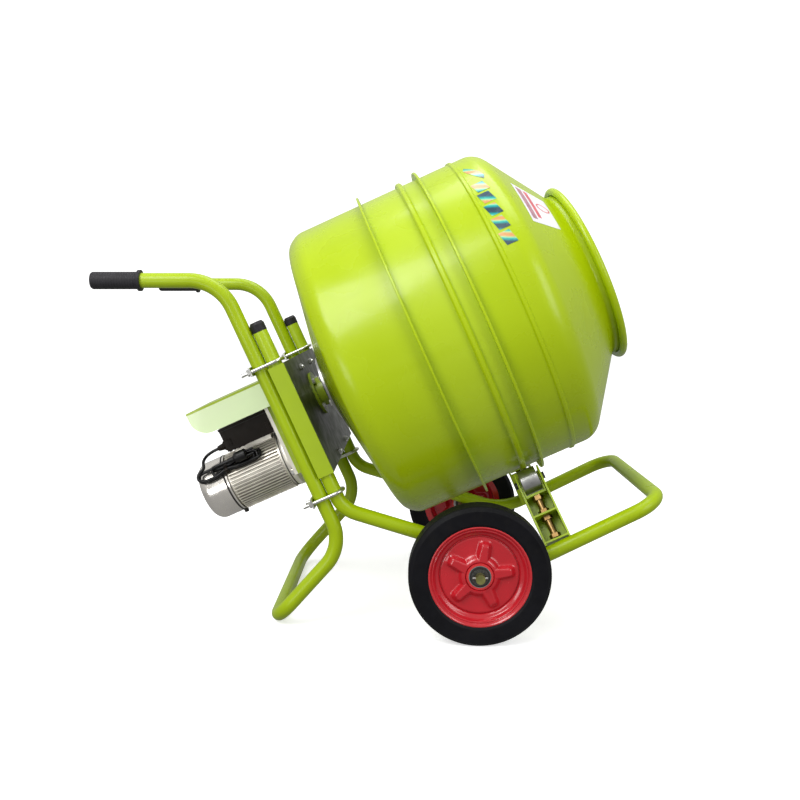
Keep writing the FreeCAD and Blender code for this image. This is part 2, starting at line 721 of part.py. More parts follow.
def motor():
    radius = size("motor_radius")
    fin = size("fin_height")
    front = size("motor_front")
    rear = size("motor_rear")
    end = size("fan_cover_end")
    turned("motor_front_shield",
           [(12.0, gear_rear), (radius + 6.0, gear_rear), (radius + 6.0, gear_rear - 7.0),
            (radius + 4.0, front), (20.0, front), (20.0, gear_rear - 2.0), (12.0, gear_rear - 2.0)], MOTOR_LINE)
    body = new_body("motor_barrel_body")
    barrel = new_sketch(body, "motor_barrel_outline", "XY_Plane", rear)
    draw_circle(barrel, 0.0, 0.0, radius)
    draw_circle(barrel, 0.0, 0.0, radius - 6.0)
    pad = body.newObject("PartDesign::Pad", "motor_barrel")
    pad.Profile = barrel
    bind(pad, "Length", front - rear)
    doc.recompute()
    fin_sketch = new_sketch(body, "motor_fin_outline", "XY_Plane", rear + 8.0)
    draw_outline(fin_sketch, [(radius - 1.0, -1.5), (radius + fin, -1.1),
                              (radius + fin, 1.1), (radius - 1.0, 1.5)])
    fin_pad = body.newObject("PartDesign::Pad", "motor_fin")
    fin_pad.Profile = fin_sketch
    bind(fin_pad, "Length", front - rear - 16.0)
    pattern = body.newObject("PartDesign::PolarPattern", "motor_fins")
    pattern.Originals = [fin_pad]
    pattern.Axis = (fin_sketch, ["N_Axis"])
    pattern.Angle = 360.0
    pattern.Occurrences = FIN_COUNT
    body.Tip = pattern
    pedestal = box("pedestal_block", (BOX_BOTTOM - motor_drop, -30.0, rear + 40.0),
                   (3.0 - radius, 30.0, front - 12.0))
    hollow = cylinder("pedestal_clearance", radius - 1.0, 300.0, (0, 0, rear - 20.0))
    keep("motor_housing", fused("motor_housing_fusion", [body, cut("pedestal", pedestal, hollow)]), MOTOR_LINE)

    ring("stator", 37.0, radius - 6.0, rear + 35.0, front - 35.0, MOTOR_LINE)
    turned("motor_rear_shield",
           [(20.0, rear), (radius + 4.0, rear), (radius + 4.0, rear - 10.0), (12.0, rear - 10.0),
            (12.0, rear - 8.5), (20.0, rear - 8.5)], MOTOR_LINE)
    bearings = [ring("motor_front_bearing", 9.0 + gap, 20.0, front + 0.5, gear_rear - 2.5, None),
                ring("motor_rear_bearing", 9.0 + gap, 20.0, rear - 8.5, rear, None)]
    keep("motor_bearings", grouped("motor_bearings_group", bearings), MOTOR_LINE)

    cover_radius = radius + 6.0
    cover = turned("fan_cover_shell",
                   [(cover_radius, rear + 4.0), (cover_radius, end), (0.0, end), (0.0, end + 2.0),
                    (cover_radius - 1.8, end + 2.0), (cover_radius - 1.8, rear + 4.0)],
                   None, [(cover_radius, end, 24.0), (cover_radius - 1.8, end + 2.0, 22.0)])
    slots = []
    for number in range(12):
        slot = box("fan_slot%d" % number, (18.0, -2.5, end - 5.0), (42.0, 2.5, end + 8.0))
        turn = FreeCAD.Placement(V(0, 0, 0), FreeCAD.Rotation(V(0, 0, 1), 30.0 * number))
        slot.Placement = turn.multiply(slot.Placement)
        slots.append(slot)
    keep("fan_cover", cut("fan_cover_cut", cover, fused("fan_slots", slots)), MOTOR_LINE)

    blades_of_fan = [ring("fan_hub", 9.0, 16.0, end + 27.0, end + 51.0, None)]
    for number in range(7):
        blade = box("fan_blade%d" % number, (15.0, -1.5, end + 29.0), (56.0, 1.5, end + 49.0))
        turn = FreeCAD.Placement(V(0, 0, 0), FreeCAD.Rotation(V(0, 0, 1), 360.0 / 7 * number))
        blade.Placement = turn.multiply(blade.Placement)
        blades_of_fan.append(blade)
    keep("cooling_fan", fused("fan_fusion", blades_of_fan), MOTOR_LINE)


BOX_FRONT = -404.0
BOX_REAR = -532.0
BOX_TOP = -14.0
BOX_BOTTOM = 40.0
BOX_HALF = 44.0


def terminal_box():
    """Plastic box for the start capacitor, on the motor's pedestal."""
    shell = box("terminal_shell", (BOX_TOP, -BOX_HALF, BOX_REAR), (BOX_BOTTOM, BOX_HALF, BOX_FRONT))
    hollow = box("terminal_hollow", (BOX_TOP - 5.0, -BOX_HALF + 3.0, BOX_REAR + 3.0),
                 (BOX_BOTTOM - 3.0, BOX_HALF - 3.0, BOX_FRONT - 3.0))
    entry = cylinder("terminal_entry", 6.5, 12.0, (24.0, -24.0, BOX_REAR - 4.0))
    keep("terminal_box", cut("terminal_box_cut", shell, fused("terminal_tools", [hollow, entry])), DRUM_LINE)
    keep("terminal_box_lid", box("terminal_lid", (BOX_TOP - 5.0, -BOX_HALF - 1.5, BOX_REAR - 1.5),
                                 (BOX_TOP, BOX_HALF + 1.5, BOX_FRONT + 1.5)), DRUM_LINE)
    keep("start_capacitor", cylinder("capacitor_can", 17.0, 90.0, (19.0, 15.0, BOX_REAR + 20.0)), DRUM_LINE)


def motor_hood():
    """Folded rain hood screwed to the top of the gearbox; returns its screws."""
    outer = 122.0
    rear = -564.0
    top = box("hood_top", (CASE_TOP - 2.0, -outer, rear), (CASE_TOP, outer, -354.0))
    flanges = []
    for number, (low, high) in enumerate(((outer - 2.0, outer), (-outer, -outer + 2.0))):
        flanges.append(box("hood_flange%d" % number, (CASE_TOP - 2.0, low, rear), (-24.0, high, -354.0)))
    blank = fused("hood_blank", [top] + flanges)
    corner_tools = []
    for number, low in enumerate((outer - 6.0, -outer - 4.0)):
        block = box("hood_corner%d" % number, (-24.0 - 42.0, low, rear - 1.0), (-20.0, low + 10.0, rear + 42.0))
        rounder = cylinder("hood_corner_round%d" % number, 42.0, 14.0, (-66.0, low - 2.0, rear + 42.0), V(0, 1, 0))
        corner_tools.append(cut("hood_corner_cut%d" % number, block, rounder))
    keep("motor_hood", cut("motor_hood_cut", blank, fused("hood_corner_tools", corner_tools)), DRUM_LINE)
    return [hexagonal("hood_screw%d" % number, HEX_RADIUS, HEX_HEIGHT, (CASE_TOP - 2.0, y, -377.0), V(-1, 0, 0))
            for number, y in enumerate((-50.0, 80.0))]


# ---------------------------------------------------------------- mains lead
CORD_RADIUS = 3.75
GLAND_LENGTH = 24.0
GLAND_PLACE = V(24.0, -24.0, BOX_REAR)
HANK_ANGLE = math.radians(53.5)
HANK_BASE = 73.6
HANK_THICKNESS = 15.2
HANK_REAR_HALF = 20.0
HANK_WAIST_HALF = 11.4
HANK_FRONT_HALF = 16.0
HANK_REAR = -624.0
HANK_TIE = -546.0
HANK_FRONT = -452.0
LEAD_ENTRY = -600.0
# where the hank lies: local +X runs forward, local +Z away from the motor's axis
HANK_OUT = V(-math.cos(HANK_ANGLE), -math.sin(HANK_ANGLE), 0)
HANK_LINE = DRUM_LINE.multiply(FreeCAD.Placement(
    V(117.0, 0, 0), FreeCAD.Rotation(V(0, 0, 1), HANK_OUT.cross(V(0, 0, 1)), HANK_OUT, "ZXY")))


def mains_lead():
    """Gland on the terminal box, lead, tied hank on the motor's flank, and plug."""
    gland_line = DRUM_LINE.multiply(FreeCAD.Placement(GLAND_PLACE, FreeCAD.Rotation(V(1, 0, 0), 180)))
    turned("cable_gland",
           [(CORD_RADIUS + 0.1, 0.0), (12.0, 0.0), (12.0, 7.0), (8.5, 9.0), (6.0, GLAND_LENGTH),
            (CORD_RADIUS + 0.1, GLAND_LENGTH)], gland_line)

    # the lead swings out behind the box and down into the side of the hank's rear lobe
    start = GLAND_PLACE - V(0, 0, GLAND_LENGTH)
    side = HANK_OUT.cross(V(0, 0, 1))
    entry = V(117.0, 0, LEAD_ENTRY) + HANK_OUT * (HANK_BASE + HANK_THICKNESS / 2) + side * HANK_REAR_HALF
    route = [start, start - V(0, 0, 25.0), entry + side * 22.0, entry]
    points = [DRUM_LINE.multVec(point) for point in route]
    radii = []
    for before, corner, after in zip(points, points[1:], points[2:]):
        run = min((corner - before).Length, (after - corner).Length)
        half_turn = (math.pi - (before - corner).getAngle(after - corner)) / 2
        radii.append(0.45 * run / math.tan(half_turn))
    wire = rounded_path(points, radii)
    tube = swept("cord_tube", spine_of("cord_spine", wire), CORD_RADIUS)
    doc.recompute()
    expected = math.pi * CORD_RADIUS ** 2 * wire.Length
    print("cord radii", [round(radius, 1) for radius in radii], "length", round(wire.Length, 1),
          "volume ratio", round(tube.Shape.Volume / expected, 4))
    for point in points:
        print("cord point", [round(number, 1) for number in point])
    keep("power_cord", tube)

    top = HANK_BASE + HANK_THICKNESS
    band = 1.5
    waist_low = HANK_TIE - 6.0
    waist_high = HANK_TIE + 6.0
    rear = HANK_REAR + HANK_REAR_HALF
    front = HANK_FRONT - HANK_FRONT_HALF
    slab = [box("hank_rear_lobe", (rear, -HANK_REAR_HALF, HANK_BASE), (waist_low, HANK_REAR_HALF, top)),
            box("hank_waist", (waist_low, -HANK_WAIST_HALF, HANK_BASE), (waist_high, HANK_WAIST_HALF, top)),
            box("hank_front_lobe", (waist_high, -HANK_FRONT_HALF, HANK_BASE), (front, HANK_FRONT_HALF, top)),
            cylinder("hank_rear_end", HANK_REAR_HALF, HANK_THICKNESS, (rear, 0, HANK_BASE)),
            cylinder("hank_front_end", HANK_FRONT_HALF, HANK_THICKNESS, (front, 0, HANK_BASE))]
    keep("cord_hank", fused("cord_hank_fusion", slab), HANK_LINE)
    around = box("tie_around", (HANK_TIE - 4.0, -HANK_WAIST_HALF - band, HANK_BASE - band),
                 (HANK_TIE + 4.0, HANK_WAIST_HALF + band, top + band))
    through = box("tie_through", (HANK_TIE - 9.0, -HANK_WAIST_HALF, HANK_BASE),
                  (HANK_TIE + 9.0, HANK_WAIST_HALF, top))
    keep("cord_tie", cut("cord_tie_cut", around, through), HANK_LINE)

    plug_radius = 13.0
    plug = turned("plug_moulding",
                  [(0.0, 0.0), (5.5, 0.0), (6.5, 14.0), (plug_radius - 1.0, 20.0), (plug_radius, 26.0),
                   (plug_radius, 46.0), (plug_radius - 2.0, 48.0), (0.0, 48.0)], None)
    pins = [cylinder("plug_pin%d" % number, 2.4, 19.0, (0, y, 47.0)) for number, y in enumerate((-6.5, 6.5))]
    plug_line = HANK_LINE.multiply(FreeCAD.Placement(V(HANK_TIE + 14.0, 0, top + plug_radius),
                                                     FreeCAD.Rotation(V(0, 1, 0), 90)))
    keep("power_plug", fused("power_plug_fusion", [plug] + pins), plug_line)


# ---------------------------------------------------------------- drum
HUB_BOLTS = circle_of_spots(6, 62.0)


def drum():
    r_out = drum_radius
    r_in = drum_radius - drum_wall
    back = size("back_station")
    edge = size("back_edge_station")
    corner = size("back_corner_station")
    seam = size("seam_station")
    hole = size("back_hole_radius")
    disc = size("back_disc_radius")
    edge_radius = size("back_edge_radius")
    rear_shell = turned(
        "rear_shell_pressing",
        [(hole, back), (disc, back), (edge_radius, edge), (r_out, corner), (r_out, seam),
            (r_in, seam), (r_in, corner + 1.0), (edge_radius - 1.5, edge + 2.4),
            (disc - 1.0, back + drum_wall), (hole, back + drum_wall)],
        None, [(edge_radius, edge, 30.0), (r_out, corner, 45.0),
               (edge_radius - 1.5, edge + 2.4, 28.0), (r_in, corner + 1.0, 43.0)])
    keep("drum_rear_shell", drilled("rear_shell_drilled", rear_shell, HUB_BOLTS, HOLE_RADIUS,
                                    back - 5.0, back + 10.0), DRUM_LINE)
    shoulder = size("shoulder_station")
    neck = size("neck_station")
    neck_end = size("neck_end_station")
    neck_radius = size("neck_radius")
    bead = size("front_bead_station")
    half_bead = size("front_bead_width") / 2
    crown = r_out + size("front_bead_height")
    turned("drum_front_shell",
           [(r_out, seam), (r_out, bead - half_bead), (crown, bead - half_bead / 2),
            (crown, bead + half_bead / 2), (r_out, bead + half_bead), (r_out, shoulder),
            (neck_radius, neck), (neck_radius, neck_end),
            (neck_radius - drum_wall, neck_end), (neck_radius - drum_wall, neck - 1.2),
            (r_in, shoulder - 1.4), (r_in, seam)],
           rounds=[(r_out, shoulder, 52.0), (r_in, shoulder - 1.4, 50.0),
                   (neck_radius, neck, 10.0), (neck_radius - drum_wall, neck - 1.2, 12.0)])

    def hoop(label, station, height, width, chamfer):
        half = width / 2
        turned(label, [(r_out, station - half), (r_out + height - chamfer, station - half),
                       (r_out + height, station - half + chamfer), (r_out + height, station + half - chamfer),
                       (r_out + height - chamfer, station + half), (r_out, station + half)])

    hoop("drum_rear_hoop", Size(0.0, "0"), size("rear_hoop_height"), size("rear_hoop_width"), 1.0)
    hoop("drum_track_hoop", size("track_station"), size("track_height"), size("track_width"), 3.5)
    hoop("drum_seam_flange", seam, size("seam_flange_height"), size("seam_flange_width"), 1.0)
    lip = size("lip_radius")
    body = new_body("mouth_lip")
    sketch = new_sketch(body, "mouth_lip_section", "XZ_Plane")
    draw_circle(sketch, neck_radius + lip, neck_end - 2.0, lip)
    draw_circle(sketch, neck_radius + lip, neck_end - 2.0, lip - 2.0)
    revolution = body.newObject("PartDesign::Revolution", "mouth_lip_revolution")
    revolution.Profile = sketch
    revolution.ReferenceAxis = (sketch, ["V_Axis"])
    keep("mouth_lip", body, DRUM_LINE)


def drum_drive():
    """Output shaft with the flange that is bolted to the drum's back."""
    back = size("back_station")
    rear_end = gear_rear + wall + 0.5
    shaft = turned("shaft_forging",
                   [(0.0, rear_end), (shaft_radius, rear_end), (shaft_radius, back - 14.0), (24.0, back - 14.0),
                    (26.0, back - 7.0), (80.0, back - 7.0), (80.0, back), (shaft_radius, back),
                    (shaft_radius, back + 8.0), (0.0, back + 8.0)], None)
    keep("drum_shaft", drilled("drum_shaft_drilled", shaft, HUB_BOLTS, HOLE_RADIUS, back - 10.0, back + 5.0),
         DRUM_LINE)
    bolts = hex_bolts("hub", HUB_BOLTS, back - 7.0 - HEX_HEIGHT, back - 7.0, back + 12.0)
    for number, (x, y) in enumerate(HUB_BOLTS):
        nut = hexagonal("hub_nut%d" % number, HEX_RADIUS, HEX_HEIGHT, (x, y, back + drum_wall),
                        bore=BOLT_RADIUS + 0.02)
        bolts.append(nut)
    keep("hub_bolts_and_nuts", grouped("hub_bolts_group", bolts), DRUM_LINE)


def blades():
    """Flat paddles standing on the drum's wall, each on its own foot strip."""
    count = int(size("blade_count"))
    paddles = []
    r_in = drum_radius - drum_wall
    thickness = size("blade_thickness")
    for number in range(count):
        foot_start = size("blade_start")
        foot_end = size("blade_end")
        paddle = box("paddle_%d" % (number + 1), (r_in - size("blade_depth"), -thickness / 2, foot_start),
                     (r_in - 3.0, thickness / 2, foot_end))
        foot = box("paddle_foot_%d" % (number + 1), (r_in - 12.0, -20.0, foot_start), (r_in + 10.0, 20.0, foot_end))
        bore = cylinder("paddle_bore_%d" % (number + 1), r_in - 0.2, 600.0, (0, 0, -200.0))
        inner = cylinder("paddle_core_%d" % (number + 1), r_in - 4.0, 600.0, (0, 0, -200.0))
        trimmed = doc.addObject("Part::Common", "paddle_trim_%d" % (number + 1))
        trimmed.Base = foot
        trimmed.Tool = bore
        strip = cut("paddle_strip_%d" % (number + 1), trimmed, inner)
        blade = fused("paddle_blade_%d" % (number + 1), [paddle, strip])
        paddles.append(placed(blade, 0, 0, 360.0 * number / count + 20.0))
    keep("mixing_blades", grouped("mixing_blades_group", paddles), DRUM_LINE)


# ---------------------------------------------------------------- wheels
def wheels():
    track = size("wheel_track_half")
    half = size("tyre_width") / 2
    rim = size("rim_radius")
    bearing = size("wheel_bearing_radius")
    axle_end = size("axle_end_radius")
    washers = []
    for side, sign in (("left", 1), ("right", -1)):
        turn = FreeCAD.Rotation(V(1, 0, 0), -90 * sign)
        place = FreeCAD.Placement(V(wheel_x, sign * track, wheel_radius), turn)
        turned("tyre_" + side,
               [(rim - 3.0, -half + 6.0), (rim + 4.0, -half + 2.0), (wheel_radius - 9.0, -half),
                (wheel_radius, -half + 9.0), (wheel_radius, half - 9.0), (wheel_radius - 9.0, half),
                (rim + 4.0, half - 2.0), (rim - 3.0, half - 6.0)],
               place, [(wheel_radius, -half + 9.0, 7.0), (wheel_radius, half - 9.0, 7.0)])
        turned("rim_" + side,
               [(bearing, -22.0), (bearing + 5.0, -22.0), (bearing + 5.0, 8.0), (82.0, 8.0), (88.0, 2.0),
                (92.0, -24.0), (rim - 3.0, -24.0), (rim - 3.0, 24.0), (94.0, 24.0), (88.0, 15.0),
                (82.0, 12.0), (bearing + 5.0, 12.0), (bearing + 5.0, 22.0), (bearing, 22.0)], place)
        bearings = []
        for number, low in enumerate((-22.0, 8.0)):
            bearings.append(ring("wheel_bearing_%s%d" % (side, number), axle_end + gap, bearing,
                                 low, low + 14.0, None))
        keep("wheel_bearings_" + side, grouped("wheel_bearings_group_" + side, bearings), place)
        for number, low in enumerate((-25.4, 22.4)):
            washer = ring("axle_washer_%s%d" % (side, number), axle_end, 18.0, low, low + 3.0, None)
            washer.Placement = place
            washers.append(washer)
    keep("axle_washers", grouped("axle_washers_group", washers))
    middle = cylinder("axle_middle", size("axle_radius"), 2 * (track - 25.4), (0, 0, -(track - 25.4)))
    ends = cylinder("axle_ends", axle_end, 2 * (track + 42.0), (0, 0, -(track + 42.0)))
    holes = []
    for number, sign in enumerate((1, -1)):
        holes.append(cylinder("pin_hole%d" % number, 2.1, 40.0, (-20.0, 0, sign * (track + 30.0)), V(1, 0, 0)))
    keep("axle", cut("axle_cut", fused("axle_fusion", [middle, ends]), fused("pin_holes", holes)), WHEEL_AXIS)
    pins = []
    for number, sign in enumerate((1, -1)):
        pins.append(cylinder("split_pin%d" % number, 2.0, 32.0, (-16.0, 0, sign * (track + 30.0)), V(1, 0, 0)))
    keep("split_pins", grouped("split_pins_group", pins), WHEEL_AXIS)


# ---------------------------------------------------------------- support rollers
ROLLER_LATERAL = 150.0
ROLLER_RADIUS = 29.0
BRACKET_LEAN = math.radians(32.0)


def rollers():
    """Two rollers under the track hoop, each in a leaning bracket that stands on a rail."""
    contact = drum_radius + size("track_height") + ROLLER_RADIUS + 0.4
    height = -math.sqrt(contact ** 2 - ROLLER_LATERAL ** 2)
    station = size("track_station")
    shared = {"roller_brackets": [], "roller_yokes": [], "roller_axles": [], "roller_adjusters": [],
              "adjuster_nuts": []}
    for side, sign in (("left", 1), ("right", -1)):
        centre = on_drum_line(station, height, sign * ROLLER_LATERAL)
        z_axis = UP * math.cos(BRACKET_LEAN) - V(0, sign, 0) * math.sin(BRACKET_LEAN)
        x_axis = AXIS * (-sign)
        place = FreeCAD.Placement(centre, FreeCAD.Rotation(x_axis, z_axis.cross(x_axis), z_axis, "ZXY"))
        ring("roller_" + side, 8.0 + gap, ROLLER_RADIUS, -20.0, 20.0, FreeCAD.Placement(centre, DRUM_LINE.Rotation))

        plates = []
        for number, low in enumerate((-30.0, 26.0)):
            plates.append(box("bracket_plate_%s%d" % (side, number), (low, -24.0, -158.0), (low + 4.0, 24.0, 20.0)))
        plates.append(box("bracket_back_" + side, (-30.0, 20.0, -158.0), (30.0, 24.0, -36.0)))
        plates.append(box("bracket_shelf_" + side, (-30.0, -24.0, -91.0), (30.0, 24.0, -87.0)))
        plates.append(box("bracket_base_" + side, (-30.0, -24.0, -154.0), (30.0, 24.0, -150.0)))
        rail = swept("bracket_rail_" + side, doc.getObject("base_frame_spine"), tube_radius)
        rail.Placement = place.inverse()
        slot = box("bracket_slot_" + side, (-40.0, -8.1, -14.0), (40.0, 8.1, 8.1))
        bolt_hole = cylinder("bracket_bolt_hole_" + side, 8.1, 80.0, (0, 0, -145.0))
        shared["roller_brackets"].append(cut("roller_bracket_" + side, fused("bracket_blank_" + side, plates),
                                             fused("bracket_tools_" + side, [rail, slot, bolt_hole])))

        cheeks = []
        for number, low in enumerate((-24.5, 21.5)):
            cheeks.append(box("yoke_cheek_%s%d" % (side, number), (low, -12.0, -40.0), (low + 3.0, 12.0, 12.0)))
        cheeks.append(box("yoke_base_" + side, (-24.5, -12.0, -40.0), (24.5, 12.0, -35.0)))
        pin_hole = cylinder("yoke_hole_" + side, 8.0, 80.0, (-40.0, 0, 0), V(1, 0, 0))
        shared["roller_yokes"].append(cut("roller_yoke_" + side, fused("yoke_blank_" + side, cheeks), pin_hole))
        shared["roller_axles"].append(cylinder("roller_pin_" + side, 8.0, 72.0, (-36.0, 0, 0), V(1, 0, 0)))
        shank = cylinder("adjuster_shank_" + side, 8.0, 104.0, (0, 0, -144.0))
        head = hexagonal("adjuster_head_" + side, 13.0, 9.0, (0, 0, -145.0))
        shared["roller_adjusters"].append(fused("roller_adjuster_" + side, [shank, head]))
        nuts = [hexagonal("adjuster_nut_%s%d" % (side, number), 13.0, 11.0, (0, 0, low), bore=8.02)
                for number, low in enumerate((-52.0, -87.0, -102.0))]
        shared["adjuster_nuts"].append(grouped("adjuster_nuts_" + side, nuts))
        for pieces in shared.values():
            pieces[-1].Placement = place.multiply(pieces[-1].Placement)
    for label, pieces in shared.items():
        keep(label, grouped(label + "_group", pieces))


base_frame()
handle_frame()
grips_and_caps()
clamp_nuts = u_bolts()
mounting_plate()
case_nuts = gearbox()
keep("small_nuts", grouped("small_nuts_group", clamp_nuts + case_nuts), DRUM_LINE)
housing_screws = bearing_housing()
gear_train()
motor()
terminal_box()
hood_screws = motor_hood()
keep("hex_screws", grouped("hex_screws_group", housing_screws + hood_screws), DRUM_LINE)
mains_lead()
drum()
drum_drive()
blades()
wheels()
rollers()

# ---------------------------------------------------------------- checks and export
doc.recompute()
faults = []
for thing in doc.Objects:
    if "Invalid" in thing.State or "Error" in thing.State:
        faults.append("%s is in state %s" % (thing.Label, thing.State))
for label, thing in nodes.items():
    if thing.Shape.isNull() or not thing.Shape.isValid() or not thing.Shape.Solids:
        faults.append("%s has no valid solid" % label)
if faults:
    raise RuntimeError("; ".join(faults))

os.makedirs("parts", exist_ok=True)
for label, thing in nodes.items():
    thing.Shape.exportStep("parts/%s.step" % label)
print(len(nodes), "nodes written")
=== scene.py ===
"""Looks of the portable concrete mixer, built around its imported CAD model. Metres, +X forward."""
import math
import random

import bpy
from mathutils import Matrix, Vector


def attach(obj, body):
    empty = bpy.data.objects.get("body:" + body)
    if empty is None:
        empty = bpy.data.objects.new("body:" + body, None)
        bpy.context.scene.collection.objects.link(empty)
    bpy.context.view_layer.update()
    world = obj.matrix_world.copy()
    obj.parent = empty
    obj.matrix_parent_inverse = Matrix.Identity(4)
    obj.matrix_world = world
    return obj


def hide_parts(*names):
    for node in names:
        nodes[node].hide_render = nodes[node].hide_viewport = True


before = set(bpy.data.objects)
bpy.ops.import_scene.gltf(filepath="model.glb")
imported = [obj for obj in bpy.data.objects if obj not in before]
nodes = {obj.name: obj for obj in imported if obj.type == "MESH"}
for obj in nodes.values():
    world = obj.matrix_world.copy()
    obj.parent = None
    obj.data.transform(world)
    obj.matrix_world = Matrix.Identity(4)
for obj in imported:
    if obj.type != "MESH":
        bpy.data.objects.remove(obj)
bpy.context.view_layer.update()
random.seed(7)
bpy.context.scene.view_settings.view_transform = "Standard"

# ---------------------------------------------------------------- frames of reference, in metres
TILT = math.radians(24.2)
AXIS = Vector((math.cos(TILT), 0, math.sin(TILT)))
UP = Vector((-math.sin(TILT), 0, math.cos(TILT)))
DRUM_BASE = Vector((0.087, 0, 0.612))
MOTOR_DROP = 0.117
HANK_ANGLE = math.radians(53.5)
WHEEL_X = 0.203
WHEEL_RADIUS = 0.150
WHEEL_TRACK = 0.328


def drum_line(x, y, z):
    """A point in the drum line's own frame: x down and forward, y lateral, z along the axis."""
    return DRUM_BASE - UP * x + Vector((0, y, 0)) + AXIS * z


def motor_line(x, y, z):
    """The same frame, moved down to the motor's axis."""
    return drum_line(MOTOR_DROP + x, y, z)


def round_drum(station, angle, radius):
    """A point on the drum; the angle is from its top towards the machine's right side."""
    return drum_line(-radius * math.cos(angle), -radius * math.sin(angle), station)


def hank_line(x, y, z):
    """x along the motor, y across the hank, z away from the motor's axis."""
    out_x, out_y = -math.cos(HANK_ANGLE), -math.sin(HANK_ANGLE)
    return drum_line(MOTOR_DROP + out_x * z + out_y * y, out_y * z - out_x * y, x)


def gland_line(start):
    """The cable gland's frame, whose z runs out of the terminal box from a station."""
    return lambda x, y, z: drum_line(0.024 + x, -0.024 + y, start - z)


def wheel_line(side):
    """A wheel's frame, whose z runs outwards along the axle from the rim's middle."""
    sign = 1 if side == "left" else -1
    return lambda x, y, z: Vector((WHEEL_X + x, sign * (WHEEL_TRACK + z), WHEEL_RADIUS + y))


# ---------------------------------------------------------------- materials
COAT_ROUGHNESS = 0.05


def map_range(tree, source, from_low, from_high, to_low=0.0, to_high=1.0):
    """A clamped linear map of a value, in a material's tree or the world's."""
    spread = tree.nodes.new("ShaderNodeMapRange")
    spread.inputs["From Min"].default_value = from_low
    spread.inputs["From Max"].default_value = from_high
    spread.inputs["To Min"].default_value = to_low
    spread.inputs["To Max"].default_value = to_high
    tree.links.new(source, spread.inputs["Value"])
    return spread.outputs["Result"]


class Shader:
    """A Principled material with helpers for procedural variation."""

    def __init__(self, name, roughness=0.4, metallic=0.0, coat=0.0, specular=0.5):
        self.material = bpy.data.materials.new(name)
        self.material.use_nodes = True
        self.tree = self.material.node_tree
        self.shader = self.tree.nodes["Principled BSDF"]
        self.shader.inputs["Roughness"].default_value = roughness
        self.shader.inputs["Metallic"].default_value = metallic
        self.shader.inputs["Coat Weight"].default_value = coat
        self.shader.inputs["Coat Roughness"].default_value = COAT_ROUGHNESS
        self.shader.inputs["Specular IOR Level"].default_value = specular
        self.normal = None

    def node(self, kind, **values):
        node = self.tree.nodes.new(kind)
        for name, value in values.items():
            setattr(node, name, value)
        return node

    def link(self, start, end):
        self.tree.links.new(start, end)

    def coordinates(self, scale=(1, 1, 1)):
        source = self.node("ShaderNodeTexCoord")
        mapping = self.node("ShaderNodeMapping")
        mapping.inputs["Scale"].default_value = scale
        self.link(source.outputs["Object"], mapping.inputs["Vector"])
        return mapping.outputs["Vector"]

    def noise(self, scale, detail=4.0):
        texture = self.node("ShaderNodeTexNoise")
        texture.inputs["Scale"].default_value = scale
        texture.inputs["Detail"].default_value = detail
        self.link(self.coordinates(), texture.inputs["Vector"])
        return texture.outputs["Fac"]

    def ramp(self, source, stops):
        ramp = self.node("ShaderNodeValToRGB")
        elements = ramp.color_ramp.elements
        while len(elements) < len(stops):
            elements.new(0.5)
        for element, (position, color) in zip(elements, stops):
            element.position = position
            element.color = (*color, 1.0)
        self.link(source, ramp.inputs["Fac"])
        return ramp.outputs["Color"]

    def clouds(self, source, color, vary, vary_up=None):
        """A colour that drifts darker and lighter with a noise."""
        lighter = vary if vary_up is None else vary_up
        return self.ramp(source, [(0.3, shade(color, 1 - vary)), (0.7, shade(color, 1 + lighter))])

    def mix(self, share, first, second):
        mix = self.node("ShaderNodeMix", data_type="RGBA")
        self.link(share, mix.inputs["Factor"])
        for socket, value in ((mix.inputs["A"], first), (mix.inputs["B"], second)):
            if isinstance(value, tuple):
                socket.default_value = (*value, 1.0)
            else:
                self.link(value, socket)
        return mix.outputs["Result"]

    def spread(self, source, low, high):
        """A noise, whose values crowd around a half, spread from low to high."""
        return map_range(self.tree, source, 0.3, 0.7, low, high)

    def tone(self):
        """The socket that gives the base colour so far."""
        return self.shader.inputs["Base Color"].links[0].from_socket

    def color(self, value):
        self.link(value, self.shader.inputs["Base Color"])

    def roughness(self, value):
        self.link(value, self.shader.inputs["Roughness"])

    def bump(self, height, strength, distance):
        """Adds a bump on top of any that the material has already."""
        bump = self.node("ShaderNodeBump")
        bump.inputs["Strength"].default_value = strength
        bump.inputs["Distance"].default_value = distance
        self.link(height, bump.inputs["Height"])
        if self.normal:
            self.link(self.normal, bump.inputs["Normal"])
        self.normal = bump.outputs["Normal"]
        self.link(self.normal, self.shader.inputs["Normal"])

    def edges(self):
        """1 where an edge sticks out, for worn paint and rubbed metal."""
        geometry = self.node("ShaderNodeNewGeometry")
        return map_range(self.tree, geometry.outputs["Pointiness"], 0.54, 0.66)


def shade(color, factor):
    return tuple(min(1.0, channel * factor) for channel in color)


def surface(name, color, roughness, metallic=0.0, coat=0.0, vary=0.12, scale=9.0, grain=400.0,
            grain_height=0.00004, grain_strength=0.25, dust=None, wear=None, specular=0.5):
    """A surface with cloudy colour, uneven gloss, fine grain, and optional dust and worn edges."""
    made = Shader(name, roughness, metallic, coat, specular)
    tone = made.clouds(made.noise(scale, 5.0), color, vary)
    if dust:
        patches = made.ramp(made.noise(scale * 2.3, 8.0),
                            [(0.52, (0, 0, 0)), (0.72, (0.35, 0.35, 0.35))])
        tone = made.mix(patches, tone, dust)
    if wear:
        tone = made.mix(made.edges(), tone, wear)
    made.color(tone)
    made.roughness(made.spread(made.noise(scale * 4, 6.0), roughness * 0.8,
                               min(1.0, roughness * 1.25)))
    made.bump(made.noise(grain, 3.0), grain_strength, grain_height)
    return made


LIME = (0.37, 0.50, 0.0015)
LIME_DEEP = (0.32, 0.44, 0.0015)

